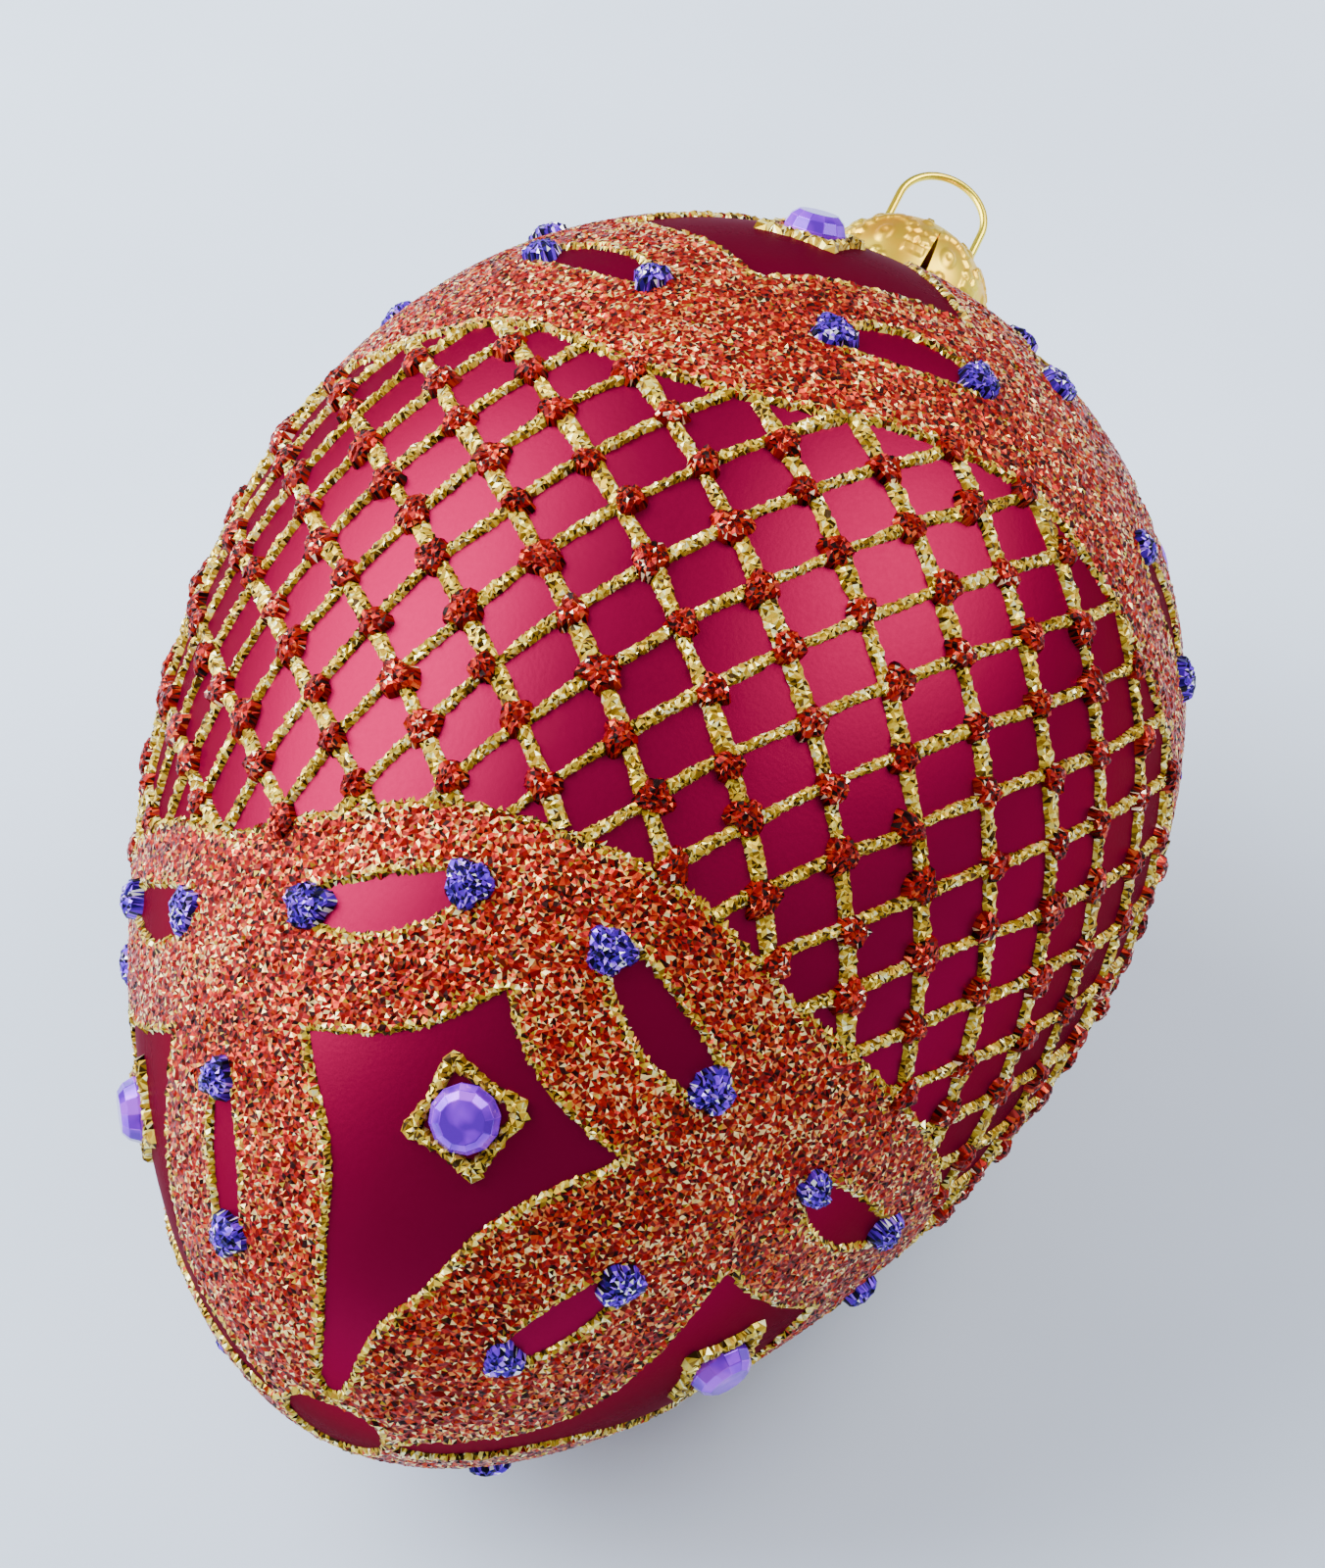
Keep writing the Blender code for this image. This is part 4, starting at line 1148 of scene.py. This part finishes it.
def pressed(along, round_way, stamps):
    """The highest of several stamps at each point of the sheet."""
    found = np.zeros_like(along)
    for stamp in stamps:
        found = np.maximum(found, bump_at(along, round_way, *stamp))
    return found


def arch_pattern(along, round_way):
    """An arch of squares over a hollowed oval, a flower and two rows of squares."""
    arch = [(OVAL_PLACE, OVAL_SIZE)]
    for index in range(ARCH_SQUARES):
        swing = math.pi * index / (ARCH_SQUARES - 1)
        place = (ARCH_SPRING + ARCH_RISE * math.sin(swing), ARCH_HALF * math.cos(swing))
        arch.append((place, ARCH_SQUARE, True, swing))
    below = []
    for index in range(PETALS):
        swing = TAU * index / PETALS
        place = (FLOWER_PLACE + PETAL_REACH * math.cos(swing), PETAL_REACH * math.sin(swing))
        below.append((place, PETAL_SIZE))
    for row, count in ROWS:
        for index in range(count):
            place = (row, (index - 0.5 * (count - 1)) * ROW_WIDTH / count)
            below.append((place, ROW_SQUARE, True))
    hollow = HOLLOW_SHARE * bump_at(along, round_way, OVAL_PLACE, HOLLOW_SIZE)
    return np.maximum(pressed(along, round_way, arch) - hollow, pressed(along, round_way, below))


def gap_pattern(along, round_way):
    """What is pressed between two arches."""
    return pressed(along, round_way, GAP_STAMPS)


def cap_relief(along, turn, girth):
    """Height of the pressing, from 0 to 1, at places along the sheet and round it."""
    relief = np.zeros_like(along)
    for shift, reach, pattern in ((0.5, ARCH_REACH, arch_pattern), (0.0, GAP_REACH, gap_pattern)):
        for index in range(ARCHES):
            off = np.mod(turn - (index + shift) * TAU / ARCHES + math.pi, TAU) - math.pi
            near = np.abs(off) < reach * TAU / ARCHES
            relief[near] = np.maximum(relief[near], pattern(along[near], (off * girth)[near]))
    return relief


def cap_piece(surface):
    """The pressed cap: a domed sheet in four quarters that meet above its slits."""
    total = CAP_SKIRT + 0.5 * math.pi * CAP_RADIUS
    slit_end = CAP_SKIRT + CAP_RADIUS * CAP_SLIT_RISE
    along = np.linspace(0.0, total, CAP_ROWS + 1)[:-1]
    taper = np.clip(1.0 - along / slit_end, 0.0, 1.0) ** SLIT_TAPER
    open_half = CAP_SLIT_HALF * taper / CAP_RADIUS
    width = TAU / CAP_SLITS - 2.0 * open_half
    shares = np.linspace(0.0, 1.0, CAP_COLUMNS + 1)
    along = np.repeat(along[:, None], CAP_COLUMNS + 1, axis=1)
    dome = np.clip((along - CAP_SKIRT) / CAP_RADIUS, 0.0, None)
    girth = CAP_RADIUS * np.cos(dome)
    index = np.arange(along.size).reshape(along.shape)
    squares = np.stack([index[:-1, :-1], index[:-1, 1:], index[1:, 1:], index[1:, :-1]], -1)
    parts = []
    for quarter in range(CAP_SLITS):
        first = CAP_SLIT_TURN + quarter * TAU / CAP_SLITS
        turn = first + open_half[:, None] + width[:, None] * shares[None, :]
        reach = CAP_RADIUS - CAP_INSET + cap_relief(along, turn, girth) * PRESS_HEIGHT
        height = np.where(along < CAP_SKIRT, CAP_RIM + along, CAP_SPRING + reach * np.sin(dome))
        points = laid(reach * np.cos(dome), turn, height)
        parts.append((points.reshape(-1, 3), squares.reshape(-1, 4)))
    points, faces = joined(parts)
    cap = piece_of("pressed_cap", points, faces, surface)
    pick(cap)
    bpy.ops.object.mode_set(mode="EDIT")
    bpy.ops.mesh.select_all(action="SELECT")
    bpy.ops.mesh.remove_doubles(threshold=CAP_MERGE)
    bpy.ops.mesh.select_all(action="DESELECT")
    bpy.ops.object.mode_set(mode="OBJECT")
    crown = REST @ Vector((0.0, 0.0, CAP_SPRING + CAP_RADIUS))
    for vertex in cap.data.vertices:
        vertex.select = (vertex.co - crown).length < CROWN_HOLE
    bpy.ops.object.mode_set(mode="EDIT")
    bpy.ops.mesh.edge_face_add()
    bpy.ops.mesh.select_all(action="SELECT")
    bpy.ops.mesh.normals_make_consistent(inside=False)
    bpy.ops.object.mode_set(mode="OBJECT")
    sheet = cap.modifiers.new("sheet", "SOLIDIFY")
    sheet.thickness = PRESSED_SHEET
    sheet.offset = -1.0
    bpy.ops.object.modifier_apply(modifier="sheet")
    bpy.ops.object.shade_smooth_by_angle(angle=math.radians(50.0))
    rides(cap, "gold_sheet", "ornament_cap")


def wire_piece(surface):
    """The sprung wire: a round loop above the cap and two legs that splay in the neck."""
    foot = CAP_SPRING + math.sqrt(CAP_RADIUS ** 2 - LOOP_RADIUS ** 2)
    loop = foot + LOOP_HEIGHT
    in_neck = NECK_RADIUS - WALL - CLEARANCE - 0.5 * WIRE_DIAMETER
    shoulder = -0.5 * EGG_LENGTH * math.cos(NECK_STATION) - WALL
    leg = [(in_neck + LEG_SPLAY, shoulder - LEG_TAIL), (in_neck, shoulder), (in_neck, MOUTH_HEIGHT),
           (LOOP_RADIUS, foot - WIRE_DIAMETER - CAP_SHEET), (LOOP_RADIUS, foot + WIRE_DIAMETER)]
    route = list(leg)
    for angle in np.linspace(0.0, math.pi, LOOP_STEPS + 1):
        route.append((LOOP_RADIUS * math.cos(angle), loop + LOOP_RADIUS * math.sin(angle)))
    route += [(-across, height) for across, height in reversed(leg)]
    let_go()
    bpy.ops.curve.primitive_nurbs_path_add(radius=MM)
    wire = active()
    wire.name = "hanger_loop_wire"
    curve = wire.data
    spline = curve.splines[0]
    spline.points.add(len(route) - len(spline.points))
    spline.order_u = 3
    spline.use_endpoint_u = True
    turn = PATTERN_TURN + LOOP_TURN
    for point, (across, height) in zip(spline.points, route):
        point.co = (across * math.cos(turn), across * math.sin(turn), height, 1.0)
    curve.resolution_u = 4
    curve.bevel_depth = 0.5 * WIRE_DIAMETER
    curve.bevel_resolution = 4
    curve.use_fill_caps = True
    wire.matrix_world = REST
    pick(wire)
    bpy.ops.object.convert(target="MESH")
    wire = active()
    place_in_mesh(wire)
    wire.data.materials.clear()
    wire.data.materials.append(surface)
    bpy.ops.object.shade_smooth_by_angle(angle=math.radians(40.0))
    rides(wire, "gold_wire", "hanger_wire")


def softbox(name, towards, distance, size, power, colour):
    """A soft square light that faces the egg."""
    let_go()
    direction = Vector(towards).normalized()
    bpy.ops.object.light_add(type="AREA", location=Vector(EGG_MIDDLE) + direction * distance)
    lamp = active()
    lamp.name = name
    lamp.data.shape = "RECTANGLE"
    lamp.data.size, lamp.data.size_y = size
    lamp.data.energy = power
    lamp.data.color = colour
    lamp.rotation_euler = direction.to_track_quat("Z", "Y").to_euler()


def pale_floor():
    """The floor, wide enough to fill every view."""
    let_go()
    bpy.ops.mesh.primitive_plane_add(size=FLOOR_SIZE, location=(0.0, 0.0, 0.0))
    floor = active()
    floor.name = "pale_floor"
    place_in_mesh(floor)
    floor.data.materials.append(pale_cloth())


def light():
    """A soft window in front, another behind the egg, and pale air."""
    for settings in LIGHTS:
        softbox(*settings)
    world = bpy.context.scene.world or bpy.data.worlds.new("air")
    bpy.context.scene.world = world
    world.use_nodes = True
    air = world.node_tree.nodes["Background"]
    air.inputs["Color"].default_value = AIR_COLOUR
    air.inputs["Strength"].default_value = AIR_STRENGTH


def photo_camera():
    """The camera at the photograph's angle."""
    level = math.cos(CAMERA_ELEVATION)
    ahead = Vector((-math.sin(CAMERA_AZIMUTH) * level, math.cos(CAMERA_AZIMUTH) * level,
                    -math.sin(CAMERA_ELEVATION)))
    let_go()
    bpy.ops.object.camera_add(location=CAMERA_PLACE)
    camera = active()
    camera.name = "photo_camera"
    camera.rotation_euler = ahead.to_track_quat("-Z", "Y").to_euler()
    camera.data.lens = CAMERA_LENS
    camera.data.clip_start = 0.01
    camera.data.clip_end = 20.0
    bpy.context.scene.camera = camera


let_go()
pale_floor()
light()
photo_camera()
glass_piece(satin_glass())
copper = glitter("copper glitter", COPPER_GRAINS_SHADE_GLINTS, GOLD_GRAINS_SHADE_GLINTS)
gold = glitter("gold glitter", GOLD_GRAINS_SHADE_GLINTS)
for end_name in ENDS:
    rides(wreath_piece(end_name, copper), "copper_glitter", f"glitter_wreath_{end_name}")
rides(net_piece(gold), "gold_glitter", "glitter_net")
rides(dots_piece(glitter("red glitter", RED_GRAINS_SHADE_GLINTS)), "copper_glitter", "glitter_net")
rides(dabs_piece(glitter("violet glitter", VIOLET_GRAINS_SHADE_GLINTS)), "violet_stone", "glitter_net")
stones(violet_stone())
gem_lines(gold)
cap_piece(gold_metal("pressed gold sheet", shade(255, 220, 54), shade(255, 186, 26), 0.40))
wire_piece(gold_metal("pale gold wire", shade(255, 232, 70), shade(250, 206, 44), 0.26))
